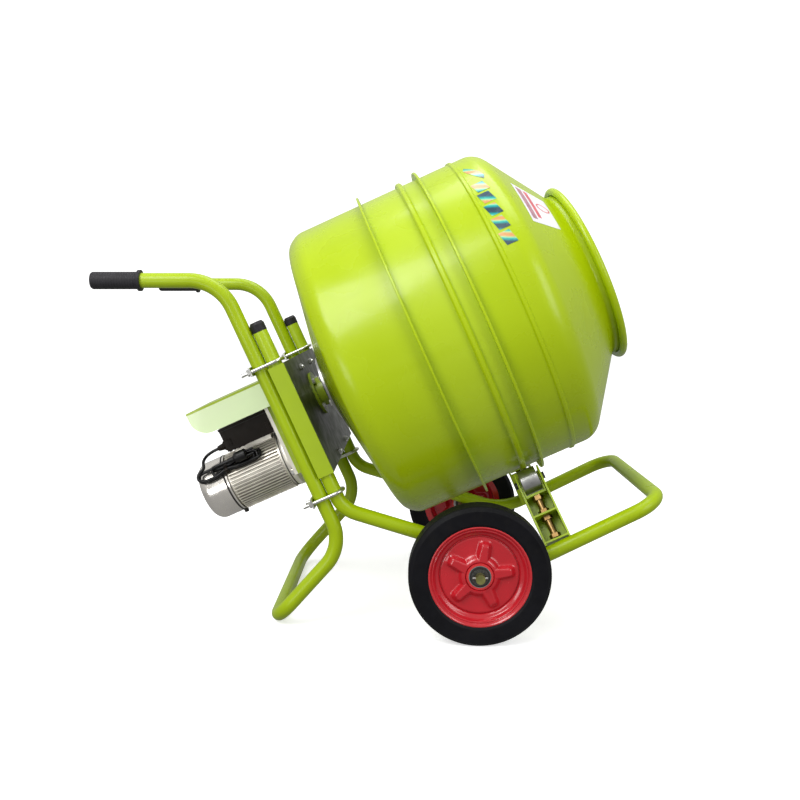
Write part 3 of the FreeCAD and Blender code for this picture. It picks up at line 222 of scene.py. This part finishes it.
# paints
drum_paint = surface("drum_paint", LIME, 0.27, coat=0.08, specular=0.35, vary=0.05, scale=3.0,
                     grain=60.0, grain_height=0.0005, grain_strength=0.10,
                     wear=(0.50, 0.66, 0.05))
frame_paint = surface("frame_paint", LIME_DEEP, 0.32, coat=0.06, specular=0.3, vary=0.06, scale=8.0,
                      grain=140.0, grain_height=0.0002, grain_strength=0.12,
                      wear=(0.47, 0.62, 0.04))
cast_paint = surface("cast_paint", LIME_DEEP, 0.38, coat=0.2, vary=0.10, scale=20.0,
                     grain=260.0, grain_height=0.0004, grain_strength=0.4, wear=(0.45, 0.6, 0.05))
# painted light: the hood's pale base colour stands for light falling on its folded sides
hood_paint_and_highlight = surface("hood_paint_and_highlight", (0.74, 0.89, 0.52), 0.34, coat=0.3, vary=0.04, scale=6.0,
                     grain=90.0, grain_height=0.0003, grain_strength=0.12,
                     wear=(0.70, 0.80, 0.50))
# painted shade: the plate's dark base colour stands for the shade on its web
plate_paint_and_shade = surface("plate_paint_and_shade", (0.028, 0.036, 0.017), 0.42, coat=0.1, vary=0.14, scale=10.0,
                      grain=160.0, grain_height=0.0003, grain_strength=0.2,
                      dust=(0.08, 0.095, 0.06))
red_paint = surface("red_paint", (0.47, 0.010, 0.018), 0.22, coat=0.35, vary=0.08, scale=14.0,
                    grain=180.0, grain_height=0.0002, grain_strength=0.15, wear=(0.75, 0.06, 0.05))

# rubber and plastic
rubber = surface("tyre_rubber", (0.006, 0.006, 0.0075), 0.50, specular=0.1, vary=0.25, scale=18.0,
                 grain=500.0, grain_height=0.0002, grain_strength=0.35, dust=(0.012, 0.011, 0.010))
plastic = surface("dark_plastic", (0.011, 0.0060, 0.0030), 0.42, specular=0.2, vary=0.2, scale=30.0,
                  grain=900.0, grain_height=0.0001, grain_strength=0.35, wear=(0.04, 0.03, 0.024))
cap_plastic = surface("cap_plastic", (0.013, 0.012, 0.015), 0.55, specular=0.3, vary=0.2,
                      scale=40.0, grain=700.0, grain_height=0.0001, grain_strength=0.3)
cord_rubber = surface("cord_rubber", (0.004, 0.004, 0.0045), 0.36, specular=0.35, vary=0.25,
                      scale=60.0, grain=900.0, grain_height=0.00008, grain_strength=0.3)
grip_rubber = surface("grip_rubber", (0.018, 0.017, 0.020), 0.55, specular=0.3, vary=0.2,
                      scale=50.0, grain=900.0, grain_height=0.0001, grain_strength=0.3)
gasket = surface("gasket", (0.02, 0.018, 0.016), 0.6, vary=0.2, scale=60.0, grain=700.0)

# metals
zinc = surface("zinc", (0.66, 0.66, 0.62), 0.30, metallic=1.0, vary=0.14, scale=60.0, grain=800.0,
               grain_height=0.00005, wear=(0.85, 0.85, 0.82))
yellow_zinc = surface("yellow_zinc", (0.22, 0.135, 0.050), 0.34, metallic=1.0, vary=0.22,
                      scale=70.0, grain=700.0, wear=(0.36, 0.24, 0.10))
steel = surface("steel", (0.50, 0.50, 0.49), 0.34, metallic=1.0, vary=0.16, scale=40.0,
                grain=500.0, wear=(0.75, 0.75, 0.74))
dark_steel = surface("dark_steel", (0.06, 0.058, 0.055), 0.42, metallic=0.7, vary=0.25, scale=60.0,
                     grain=500.0, wear=(0.3, 0.3, 0.28))
axle_zinc = surface("axle_zinc", (0.27, 0.27, 0.09), 0.36, metallic=0.8, vary=0.3, scale=60.0,
                    grain=500.0)
aluminium = surface("cast_aluminium", (0.92, 0.87, 0.77), 0.36, metallic=0.55, vary=0.10,
                    scale=26.0, grain=420.0, grain_height=0.00025, grain_strength=0.35,
                    wear=(0.95, 0.92, 0.86))
polished = surface("polished_cover", (0.90, 0.86, 0.79), 0.20, metallic=0.9, vary=0.10, scale=12.0,
                   grain=160.0, grain_height=0.0003, grain_strength=0.12)
stator_iron = surface("stator_iron", (0.30, 0.20, 0.13), 0.45, metallic=0.6, vary=0.25, scale=80.0,
                      grain=600.0)
can_metal = surface("can_metal", (0.66, 0.66, 0.68), 0.3, metallic=1.0, vary=0.1, scale=40.0,
                    grain=500.0)

# the grips are ribbed along their length
ribs = grip_rubber.node("ShaderNodeTexWave", wave_type="BANDS", bands_direction="X")
ribs.inputs["Scale"].default_value = 55.0
grip_rubber.link(grip_rubber.coordinates(), ribs.inputs["Vector"])
grip_rubber.bump(ribs.outputs["Fac"], 0.5, 0.0012)


def lime_where(look, mask):
    """Paints the tubes' lime where the mask is 1, over a tone that is painted shade on the plate
    and painted light on the hood.
    """
    own_tone = look.tone()
    lime_tone = look.clouds(look.noise(8.0), LIME_DEEP, 0.05, 0.06)
    look.color(look.mix(mask, own_tone, lime_tone))


# painted shade: the plate's web is painted dark for the shade it stands in, with dust on it; its
# folded edges keep the tubes' lime
FOLD_FROM, FOLD_TO = 0.2655, 0.2675
position = plate_paint_and_shade.node("ShaderNodeSeparateXYZ")
plate_paint_and_shade.link(plate_paint_and_shade.coordinates(), position.inputs["Vector"])
outward = plate_paint_and_shade.node("ShaderNodeMath", operation="ABSOLUTE")
plate_paint_and_shade.link(position.outputs["Y"], outward.inputs[0])
lime_where(plate_paint_and_shade, map_range(plate_paint_and_shade.tree, outward.outputs["Value"], FOLD_FROM, FOLD_TO))

# painted light: the hood's folded sides are painted pale for the light they catch; its top keeps
# the tubes' lime
HOOD_TOP = -0.0840
HOOD_RISE = DRUM_BASE.dot(UP) - HOOD_TOP
rise = hood_paint_and_highlight.node("ShaderNodeVectorMath", operation="DOT_PRODUCT")
hood_paint_and_highlight.link(hood_paint_and_highlight.coordinates(), rise.inputs[0])
rise.inputs[1].default_value = UP
lime_where(hood_paint_and_highlight, map_range(hood_paint_and_highlight.tree, rise.outputs["Value"],
                                 HOOD_RISE - 0.0032, HOOD_RISE - 0.0026))

# painted shade: the recesses between the motor's fins are darkened where ambient occlusion finds
# them closed in
FIN_SHADE_REACH = 0.007
fin_shade_ao = aluminium.node("ShaderNodeAmbientOcclusion")
fin_shade_ao.inputs["Distance"].default_value = FIN_SHADE_REACH
unshaded_share = aluminium.ramp(fin_shade_ao.outputs["AO"], [(0.30, (0, 0, 0)), (0.72, (1, 1, 1))])
aluminium.color(aluminium.mix(unshaded_share, (0.13, 0.11, 0.085), aluminium.tone()))

NODE_LOOKS = {
    drum_paint: ["drum_rear_shell", "drum_front_shell", "drum_rear_hoop", "drum_track_hoop",
                 "drum_seam_flange", "mouth_lip"],
    frame_paint: ["base_frame", "handle_frame", "roller_brackets", "roller_yokes"],
    plate_paint_and_shade: ["mounting_plate"],
    hood_paint_and_highlight: ["motor_hood"],
    cast_paint: ["bearing_housing", "gearbox_housing", "mixing_blades"],
    zinc: ["u_bolts", "u_bolt_saddles", "small_nuts", "hex_screws", "gearbox_bolts",
           "hub_bolts_and_nuts", "split_pins"],
    yellow_zinc: ["roller_adjusters", "adjuster_nuts"],
    steel: ["drum_shaft", "output_gear", "idler_shaft", "idler_wheel", "idler_bearings",
            "shaft_bearings", "motor_bearings", "motor_rotor", "roller_left", "roller_right",
            "wheel_bearings_left", "wheel_bearings_right"],
    dark_steel: ["roller_axles", "axle_washers"],
    axle_zinc: ["axle"],
    aluminium: ["motor_housing", "motor_front_shield", "motor_rear_shield", "gearbox_cover"],
    polished: ["fan_cover"],
    stator_iron: ["stator"],
    can_metal: ["start_capacitor"],
    rubber: ["tyre_left", "tyre_right"],
    grip_rubber: ["handle_grips"],
    cap_plastic: ["upright_caps", "cooling_fan"],
    plastic: ["terminal_box", "terminal_box_lid", "cable_gland", "cord_tie"],
    cord_rubber: ["power_plug"],
}
for look, names in NODE_LOOKS.items():
    for name in names:
        slots = nodes[name].data.materials
        slots.clear()
        slots.append(look.material)

# ---------------------------------------------------------------- pieces
SHARP_ANGLE = math.radians(38)
LABEL_BACK, LABEL_FACE = 0.0002, 0.0006


def piece(name, points, faces, look, body, smooth=True):
    mesh = bpy.data.meshes.new(name)
    mesh.from_pydata([tuple(point) for point in points], [], faces)
    mesh.validate()
    mesh.materials.append(look.material)
    for polygon in mesh.polygons:
        polygon.use_smooth = smooth
    made = bpy.data.objects.new(name, mesh)
    bpy.context.scene.collection.objects.link(made)
    if smooth:
        mesh.set_sharp_from_angle(angle=SHARP_ANGLE)
    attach(made, body)
    return made


def facing_out(made):
    """Makes every face of a closed piece look outwards."""
    bpy.context.view_layer.objects.active = made
    made.select_set(True)
    bpy.ops.object.mode_set(mode="EDIT")
    bpy.ops.mesh.select_all(action="SELECT")
    bpy.ops.mesh.normals_make_consistent(inside=False)
    bpy.ops.object.mode_set(mode="OBJECT")
    made.select_set(False)
    return made


def revolved(name, section, to_row, look, body, segments):
    """A closed section of (radius, z) points, or a function of the angle that gives one, turned
    full circle."""
    points, faces = [], []
    count = 0
    for step in range(segments):
        angle = 2 * math.pi * step / segments
        profile = section(angle) if callable(section) else section
        count = len(profile)
        for radius, z in profile:
            points.append(to_row(radius * math.cos(angle), radius * math.sin(angle), z))
    for step in range(segments):
        following = (step + 1) % segments
        for index in range(count):
            beside = (index + 1) % count
            faces.append((step * count + index, following * count + index,
                          following * count + beside, step * count + beside))
    return facing_out(piece(name, points, faces, look, body))


def block(name, low, high, to_row, look, body, bevel=0.0):
    """A box between two corners of a frame of reference, with rounded edges if bevel is given."""
    corners = [(x, y, z) for x in (low[0], high[0]) for y in (low[1], high[1])
               for z in (low[2], high[2])]
    faces = [(0, 1, 3, 2), (4, 6, 7, 5), (0, 4, 5, 1), (2, 3, 7, 6), (0, 2, 6, 4), (1, 5, 7, 3)]
    points = [to_row(*corner) for corner in corners]
    made = facing_out(piece(name, points, faces, look, body, smooth=False))
    if bevel:
        rounding = made.modifiers.new("rounding", "BEVEL")
        rounding.width = bevel
        rounding.segments = 3
    return made


def patch(name, outline, to_point, look, body, columns=24, rows=24):
    """A thin label that follows a curved surface; outline gives its two surface coordinates for
    shares of its two sides."""
    points, faces = [], []
    for layer in (LABEL_BACK, LABEL_FACE):
        for row in range(rows + 1):
            for column in range(columns + 1):
                u, v = outline(column / columns, row / rows)
                points.append(to_point(u, v, layer))
    per_layer = (rows + 1) * (columns + 1)

    def index(layer, row, column):
        return layer * per_layer + row * (columns + 1) + column

    for row in range(rows):
        for column in range(columns):
            quad = ((row, column), (row, column + 1), (row + 1, column + 1), (row + 1, column))
            faces.append(tuple(index(1, *corner) for corner in quad))
            faces.append(tuple(index(0, *corner) for corner in reversed(quad)))
    rim = [(0, column) for column in range(columns)]
    rim += [(row, columns) for row in range(rows)]
    rim += [(rows, column) for column in range(columns, 0, -1)]
    rim += [(row, 0) for row in range(rows, 0, -1)]
    for number, corner in enumerate(rim):
        beside = rim[(number + 1) % len(rim)]
        faces.append((index(0, *corner), index(0, *beside), index(1, *beside), index(1, *corner)))
    return facing_out(piece(name, points, faces, look, body))


# ---------------------------------------------------------------- wheels
ARM_ANGLES = [math.radians(angle) for angle in (8, 80, 152, 224, 296)]
ARM_RISE = 0.0115
ARM_SHOULDER = 0.0115
ARM_ROOT_RADIUS = 0.034
ARM_ROOT_HALF = 0.0190
ARM_TAPER = 0.09
RIM_FACE = 0.0100
RIM_REAR_FACE = 0.0075
RIM_SAMPLES = 16
RIM_SEGMENTS = 360


def smooth_step(low, high, value):
    share = max(0.0, min(1.0, (value - low) / (high - low)))
    return share * share * (3 - 2 * share)


def arm_height(radius, angle):
    """Height of the five pressed arms and the hub's ring at a place on the rim's face."""
    nearest = min(abs((angle - arm + math.pi) % (2 * math.pi) - math.pi) for arm in ARM_ANGLES)
    across = abs(math.sin(nearest)) * radius if nearest < math.pi / 2 else radius
    half = ARM_ROOT_HALF - ARM_TAPER * (radius - ARM_ROOT_RADIUS)
    along = smooth_step(0.029, 0.036, radius) * (1 - smooth_step(0.064, 0.078, radius))
    hub = 1 - smooth_step(ARM_ROOT_RADIUS, 0.048, radius)
    arm = along * (1 - smooth_step(half - ARM_SHOULDER, half, across))
    return ARM_RISE * max(arm, hub * smooth_step(0.0285, 0.031, radius))


def rim_section(angle):
    """The pressed rim: face with raised arms, groove, rolled edge, and barrel under the tyre."""
    front = [(0.0238, 0.0220), (0.0280, 0.0220), (0.0290, 0.0205), (0.0295, 0.0185)]
    for step in range(RIM_SAMPLES + 1):
        radius = 0.0310 + 0.0490 * step / RIM_SAMPLES
        front.append((radius, RIM_FACE + arm_height(radius, angle)))
    front += [(0.0818, 0.0092), (0.0826, 0.0064), (0.0842, 0.0060), (0.0852, 0.0086),
              (0.0880, 0.0110), (0.0915, 0.0120), (0.0940, 0.0138), (0.0962, 0.0200),
              (0.0985, 0.0222), (0.1006, 0.0216), (0.1016, 0.0226), (0.1032, 0.0252),
              (0.1056, 0.0268), (0.1078, 0.0262), (0.1088, 0.0244), (0.1082, 0.0225),
              (0.1061, 0.0222)]
    back = [(0.1061, -0.0240), (0.0920, -0.0240), (0.0905, -0.0225), (0.0880, -0.0010),
            (0.0840, 0.0025)]
    for step in range(RIM_SAMPLES + 1):
        radius = 0.0800 - 0.0490 * step / RIM_SAMPLES
        back.append((radius, RIM_REAR_FACE + 0.9 * arm_height(radius, angle)))
    return front + back + [(0.0285, 0.0060), (0.0285, -0.0220), (0.0238, -0.0220)]


SEAL_SECTION = [(0.0182, 0.0221), (0.0222, 0.0221), (0.0222, 0.0226), (0.0182, 0.0226)]
for side in ("left", "right"):
    rim = revolved("rim_pressing_" + side, rim_section, wheel_line(side), red_paint,
                   "wheel_" + side, RIM_SEGMENTS)
    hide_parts("rim_" + side)
    revolved("bearing_seal_" + side, SEAL_SECTION, wheel_line(side), gasket, "wheel_" + side,
             96)

# ---------------------------------------------------------------- mains lead
CORD_RADIUS = 0.00375
CORD_JITTER = 0.0005
LEAD_ROUTE = [(-0.4103, -0.0240, 0.3622), (-0.4331, -0.0240, 0.3519), (-0.4460, -0.0403, 0.3342),
              (-0.4387, -0.0534, 0.3180)]
# the hank in its own line: the tie, the front loop, how much shorter each turn is, and the heights
# of its two layers
HANK_TIE = -0.546
HANK_FRONT = -0.4565
TURN_INSET = 0.0082
LOWER, UPPER = 0.0776, 0.0850
HANK_ENTRY = [(-0.6120, 0.0135, 0.0850), (-0.6190, 0.0050, 0.0855), (-0.6195, -0.0075, 0.0850)]
PLUG_TURN = [(-0.5640, 0.0, 0.0852), (-0.5745, 0.0, 0.0885), (-0.5765, 0.0, 0.0955),
             (-0.5700, 0.0, 0.1015), (-0.5560, 0.0, 0.1022), (-0.5315, 0.0, 0.1018)]
# each turn goes out along -y to the front loop and comes back along +y to the rear loop; these are
# its places across the hank at the rear, the tie and the front, and its layer each way
TURNS = [{"rear": 0.0162, "tie": -0.0076, "front": 0.0120, "height": UPPER,
          "back_tie": 0.0076, "back_rear": 0.0125, "back_height": LOWER},
         {"rear": 0.0160, "tie": -0.0076, "front": 0.0115, "height": LOWER,
          "back_tie": 0.0076, "back_rear": 0.0085, "back_height": UPPER},
         {"rear": 0.0085, "tie": -0.0002, "front": 0.0045, "height": LOWER,
          "back_tie": 0.0002, "back_rear": 0.0, "back_height": UPPER}]


def turn_spots(number, turn):
    """The listed points of one turn of the hank, in the hank's line."""
    inset = TURN_INSET * number
    rear, tie, front, height = turn["rear"], turn["tie"], turn["front"], turn["height"]
    back_tie, back_rear, back_height = turn["back_tie"], turn["back_rear"], turn["back_height"]
    nose = max(0.007, front)
    spots = [(-0.6030 + inset * 0.6, -rear, height), (-0.5820, -rear, height),
             (-0.5640, -rear * 0.70 + tie * 0.25, height), (HANK_TIE - 0.005, tie, height),
             (HANK_TIE + 0.009, tie, height), (-0.5220, -front * 0.80 + tie * 0.20, height),
             (-0.4980, -front, height), (HANK_FRONT - inset - nose, -front, height),
             (HANK_FRONT - inset, -front * 0.85, height * 0.75 + back_height * 0.25),
             (HANK_FRONT - inset, front * 0.85, height * 0.25 + back_height * 0.75),
             (HANK_FRONT - inset - nose, front, back_height), (-0.4980, front, back_height),
             (-0.5220, front * 0.80 + back_tie * 0.20, back_height),
             (HANK_TIE + 0.009, back_tie, back_height), (HANK_TIE - 0.005, back_tie, back_height)]
    if number == 0:  # round the rear of the hank, down to the lower layer
        spots += [(-0.5640, back_rear * 0.70 + back_tie * 0.25, back_height),
                  (-0.5820, back_rear, back_height), (-0.6060, back_rear, back_height),
                  (-0.6190, back_rear * 0.75, LOWER), (-0.6190, -TURNS[1]["rear"] * 0.65, LOWER)]
    if number == 1:  # a short loop, so that the rear of the hank stays open
        spots += [(-0.5620, back_rear, back_height), (-0.5740, back_rear, back_height),
                  (-0.5815, back_rear * 0.80, back_height * 0.75 + LOWER * 0.25),
                  (-0.5815, -back_rear * 0.80, back_height * 0.25 + LOWER * 0.75),
                  (-0.5740, -back_rear, LOWER)]
    if number == 2:  # joins that short loop
        spots = spots[2:]
    return spots


cord_points = [Vector(point) for point in LEAD_ROUTE]
cord_points += [hank_line(*spot) for spot in HANK_ENTRY]
for number, turn in enumerate(TURNS):
    for x, y, z in turn_spots(number, turn):
        jitter = random.uniform(-CORD_JITTER, CORD_JITTER)
        cord_points.append(hank_line(x + jitter, y, z + jitter * 0.4))
cord_points += [hank_line(*spot) for spot in PLUG_TURN]

curve = bpy.data.curves.new("mains_cord", "CURVE")
curve.dimensions = "3D"
curve.bevel_depth = CORD_RADIUS
curve.bevel_resolution = 6
curve.resolution_u = 10
curve.use_fill_caps = True
spline = curve.splines.new("NURBS")
spline.points.add(len(cord_points) - 1)
for place, point in zip(spline.points, cord_points):
    place.co = (*point, 1.0)
spline.order_u = 3
spline.use_endpoint_u = True
curve.materials.append(cord_rubber.material)
cord = bpy.data.objects.new("mains_cord", curve)
bpy.context.scene.collection.objects.link(cord)
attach(cord, "frame")
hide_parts("power_cord", "cord_hank")

# ---------------------------------------------------------------- trim on the terminal box
for number, station in enumerate((-0.5225, -0.4215)):
    block("box_lug_%d" % number, (0.010, -0.0462, station), (0.030, -0.0438, station + 0.009),
          drum_line, plastic, "frame", 0.0008)
for number in range(4):
    block("box_foot_rib_%d" % number, (0.0385, -0.0450, -0.528 + 0.012 * number),
          (0.0412, -0.0310, -0.523 + 0.012 * number), drum_line, plastic, "frame",
          0.0006)
block("box_seam", (-0.0125, -0.0447, -0.5327), (-0.0105, 0.0447, -0.4033), drum_line, gasket,
      "frame")
GLAND_NUT_SECTION = [(0.0090, 0.0), (0.0128, 0.0), (0.0128, 0.0055), (0.0118, 0.0062),
                     (0.0090, 0.0062)]
revolved("gland_nut", GLAND_NUT_SECTION, gland_line(-0.5325), plastic, "frame", 6)
GLAND_RIB_START = 0.0095
GLAND_RIB_PITCH = 0.0026
GLAND_RIB_WIDTH = 0.0013
for number in range(5):
    low = GLAND_RIB_START + GLAND_RIB_PITCH * number
    high = low + GLAND_RIB_WIDTH
    outer = 0.0086 - 0.0150 * (low - GLAND_RIB_START) / 0.10
    revolved("gland_rib_%d" % number, [(0.0050, low), (outer, low), (outer, high), (0.0050, high)],
             gland_line(-0.532), plastic, "frame", 40)

# ---------------------------------------------------------------- trim on the motor
GASKET_SECTION = [(0.0665, -0.4120), (0.0712, -0.4120), (0.0712, -0.4138), (0.0665, -0.4138)]
BEAD_SECTION = [(0.0719, -0.5600), (0.0728, -0.5606), (0.0728, -0.5640), (0.0719, -0.5646)]
PLUG_SECTION = [(0.0015, 0.0), (0.0058, 0.0), (0.0058, 0.0065), (0.0048, 0.0080), (0.0015, 0.0080)]
revolved("motor_front_gasket", GASKET_SECTION, motor_line, gasket, "frame", 96)
revolved("fan_cover_bead", BEAD_SECTION, motor_line, gasket, "frame", 96)
revolved("drain_plug", PLUG_SECTION,
         lambda x, y, z: motor_line(0.0705 + z, -0.012 + y, -0.5610 + x), gasket, "frame",
         40)

# ---------------------------------------------------------------- labels, with no letters or marks
DRUM_RADIUS = 0.364
CONE_START = 0.284
CONE_DROP, CONE_LENGTH = 0.164, 0.117
PRINT_RISE = 0.0004


def drum_radius_at(station):
    """Outer radius of the drum in front of its front bead."""
    if station < CONE_START:
        return DRUM_RADIUS
    return DRUM_RADIUS - (station - CONE_START) * CONE_DROP / CONE_LENGTH


def on_drum(station, angle, out):
    return round_drum(station, angle, drum_radius_at(station) + out)


def on_cone(station, angle, out):
    """As on_drum, with the radius grown a little more, since the cone's wall leans."""
    return round_drum(station, angle, drum_radius_at(station) + out * 1.2)


def on_label(station, angle, out):
    """A point printed on the cone's label, just above its paper."""
    return on_cone(station, angle, out + PRINT_RISE)


def sheared(first, last, low_angle, high_angle, slant=0.0):
    """A four-sided label between two stations and two angles, in degrees."""
    def outline(u, v):
        angle = low_angle + (high_angle - low_angle) * v
        station = first + (last - first) * u + slant * (v - 0.5)
        return station, math.radians(angle)
    return outline


def crescent(u, v):
    """A leaning crescent at the badge's upper end."""
    bow = math.sin(math.pi * v)
    station = 0.2345 + 0.030 * v * v + 0.004 * bow + (0.004 + 0.009 * bow) * u
    return station, math.radians(29.0 + 10.0 * v - 2.0 * u)


def label_ring(u, v):
    """A plain ring on the cone's label."""
    turn = 2 * math.pi * v
    reach = 0.0098 + 0.0026 * u
    station = 0.3580 + reach * math.cos(turn)
    return station, math.radians(48.0) + reach * math.sin(turn) / drum_radius_at(0.360)


badge = Shader("badge", 0.22, coat=0.6)
bands = badge.node("ShaderNodeTexWave", wave_type="BANDS", bands_direction="Z")
bands.inputs["Scale"].default_value = 9.0
bands.inputs["Distortion"].default_value = 1.2
bands.inputs["Detail"].default_value = 3.0
badge.link(badge.coordinates(), bands.inputs["Vector"])
badge.color(badge.ramp(bands.outputs["Fac"],
                       [(0.10, (0.012, 0.05, 0.08)), (0.35, (0.0, 0.24, 0.25)),
                        (0.60, (0.03, 0.45, 0.36)), (0.80, (0.35, 0.62, 0.30)),
                        (0.95, (0.62, 0.30, 0.10))]))
badge.roughness(badge.spread(badge.noise(60.0), 0.15, 0.35))
badge.bump(badge.noise(400.0), 0.1, 0.0001)
label_white = surface("label_white", (0.80, 0.80, 0.84), 0.35, coat=0.3, vary=0.04, scale=30.0,
                      grain=500.0)
label_red = surface("label_red", (0.65, 0.10, 0.12), 0.35, coat=0.3, vary=0.15, scale=60.0,
                    grain=500.0)
label_grey = surface("label_grey", (0.42, 0.20, 0.24), 0.4, coat=0.3, vary=0.2, scale=90.0,
                     grain=500.0)

# the badge is the crescent, then five small lozenges in line under it; degrees from the drum's top
LOZENGE_START, LOZENGE_PITCH, LOZENGE_WIDTH = 40.0, 5.9, 4.9
patch("badge_crescent", crescent, on_drum, badge, "drum", 6, 20)
for number in range(5):
    start = LOZENGE_START + LOZENGE_PITCH * number
    patch("badge_lozenge_%d" % number,
          sheared(0.2345 + 0.0006 * number, 0.2610, start, start + LOZENGE_WIDTH, 0.007),
          on_drum, badge, "drum", 6, 6)

patch("label_back", sheared(0.316, 0.374, 37.5, 60.5), on_cone, label_white, "drum")
patch("label_band", sheared(0.321, 0.330, 39.5, 58.5), on_label, label_grey, "drum",
      8, 16)
patch("label_block", sheared(0.334, 0.341, 39.5, 57.0), on_label, label_red, "drum",
      8, 16)
patch("label_ring", label_ring, on_label, label_red, "drum", 3, 40)

# ---------------------------------------------------------------- studio
# a pale floor with a faint glow of its own; it neither lights the object nor shows in its paint
FLOOR_REACH = 12.0
FLOOR_LEVEL = -0.0005
FLOOR_GLOW = 0.55
floor_look = Shader("studio_floor", 0.8)
floor_look.color(floor_look.ramp(floor_look.noise(1.5),
                                 [(0.3, (0.84, 0.84, 0.84)), (0.7, (0.86, 0.86, 0.86))]))
floor_look.shader.inputs["Emission Color"].default_value = (1.0, 1.0, 1.0, 1.0)
floor_look.shader.inputs["Emission Strength"].default_value = FLOOR_GLOW
floor_mesh = bpy.data.meshes.new("studio_floor")
floor_mesh.from_pydata([(x * FLOOR_REACH, y * FLOOR_REACH, FLOOR_LEVEL)
                        for x, y in ((-1, -1), (1, -1), (1, 1), (-1, 1))], [], [(0, 1, 2, 3)])
floor_mesh.materials.append(floor_look.material)
floor = bpy.data.objects.new("studio_floor", floor_mesh)
bpy.context.scene.collection.objects.link(floor)
floor.visible_diffuse = False
floor.visible_glossy = False

# the room is white to look at; as a light it is dimmer, and dimmest from below
ROOM_SEEN = 1.3
ROOM_BELOW, ROOM_ABOVE = 0.30, 0.62
world = bpy.data.worlds.new("studio")
bpy.context.scene.world = world
world.use_nodes = True
room = world.node_tree
ambient = room.nodes["Background"]
ambient.inputs["Color"].default_value = (1.0, 1.0, 1.0, 1.0)
direction = room.nodes.new("ShaderNodeTexCoord")
parts = room.nodes.new("ShaderNodeSeparateXYZ")
room.links.new(direction.outputs["Generated"], parts.inputs["Vector"])
strength = map_range(room, parts.outputs["Z"], -0.4, 0.5, ROOM_BELOW, ROOM_ABOVE)
room.links.new(strength, ambient.inputs["Strength"])
seen = room.nodes.new("ShaderNodeBackground")
seen.inputs["Color"].default_value = (1.0, 1.0, 1.0, 1.0)
seen.inputs["Strength"].default_value = ROOM_SEEN
path = room.nodes.new("ShaderNodeLightPath")
choice = room.nodes.new("ShaderNodeMixShader")
room.links.new(path.outputs["Is Camera Ray"], choice.inputs["Fac"])
room.links.new(ambient.outputs["Background"], choice.inputs[1])
room.links.new(seen.outputs["Background"], choice.inputs[2])
room.links.new(choice.outputs["Shader"], room.nodes["World Output"].inputs["Surface"])

CENTRE = (0.05, 0.0, 0.5)
# name: place, target, width, height, watts
LIGHTS = {
    "key": ((-1.9, -2.6, 3.2), CENTRE, 2.2, 2.2, 112),
    "fill": ((2.6, -2.6, 1.9), CENTRE, 1.6, 2.2, 42),
    "low": ((-1.6, -2.4, 0.25), (-0.35, 0.0, 0.45), 1.2, 0.7, 12),
    "top": ((0.3, 0.2, 3.4), CENTRE, 2.6, 1.6, 50),
}
for name, (place, target, width, height, watts) in LIGHTS.items():
    light = bpy.data.lights.new(name, "AREA")
    light.shape = "RECTANGLE"
    light.size = width
    light.size_y = height
    light.energy = watts
    lamp = bpy.data.objects.new(name, light)
    bpy.context.scene.collection.objects.link(lamp)
    lamp.location = place
    aim = Vector(target) - Vector(place)
    lamp.rotation_euler = aim.to_track_quat("-Z", "Y").to_euler()

# the camera stands where the photograph was taken from
camera_data = bpy.data.cameras.new("camera")
camera_data.sensor_width = 36.0
camera_data.lens = 39.15
camera = bpy.data.objects.new("camera", camera_data)
bpy.context.scene.collection.objects.link(camera)
camera.location = (0.060, -2.1084, 0.7282)
camera.rotation_euler = (math.radians(83.28), 0.0, math.radians(0.77))
bpy.context.scene.camera = camera
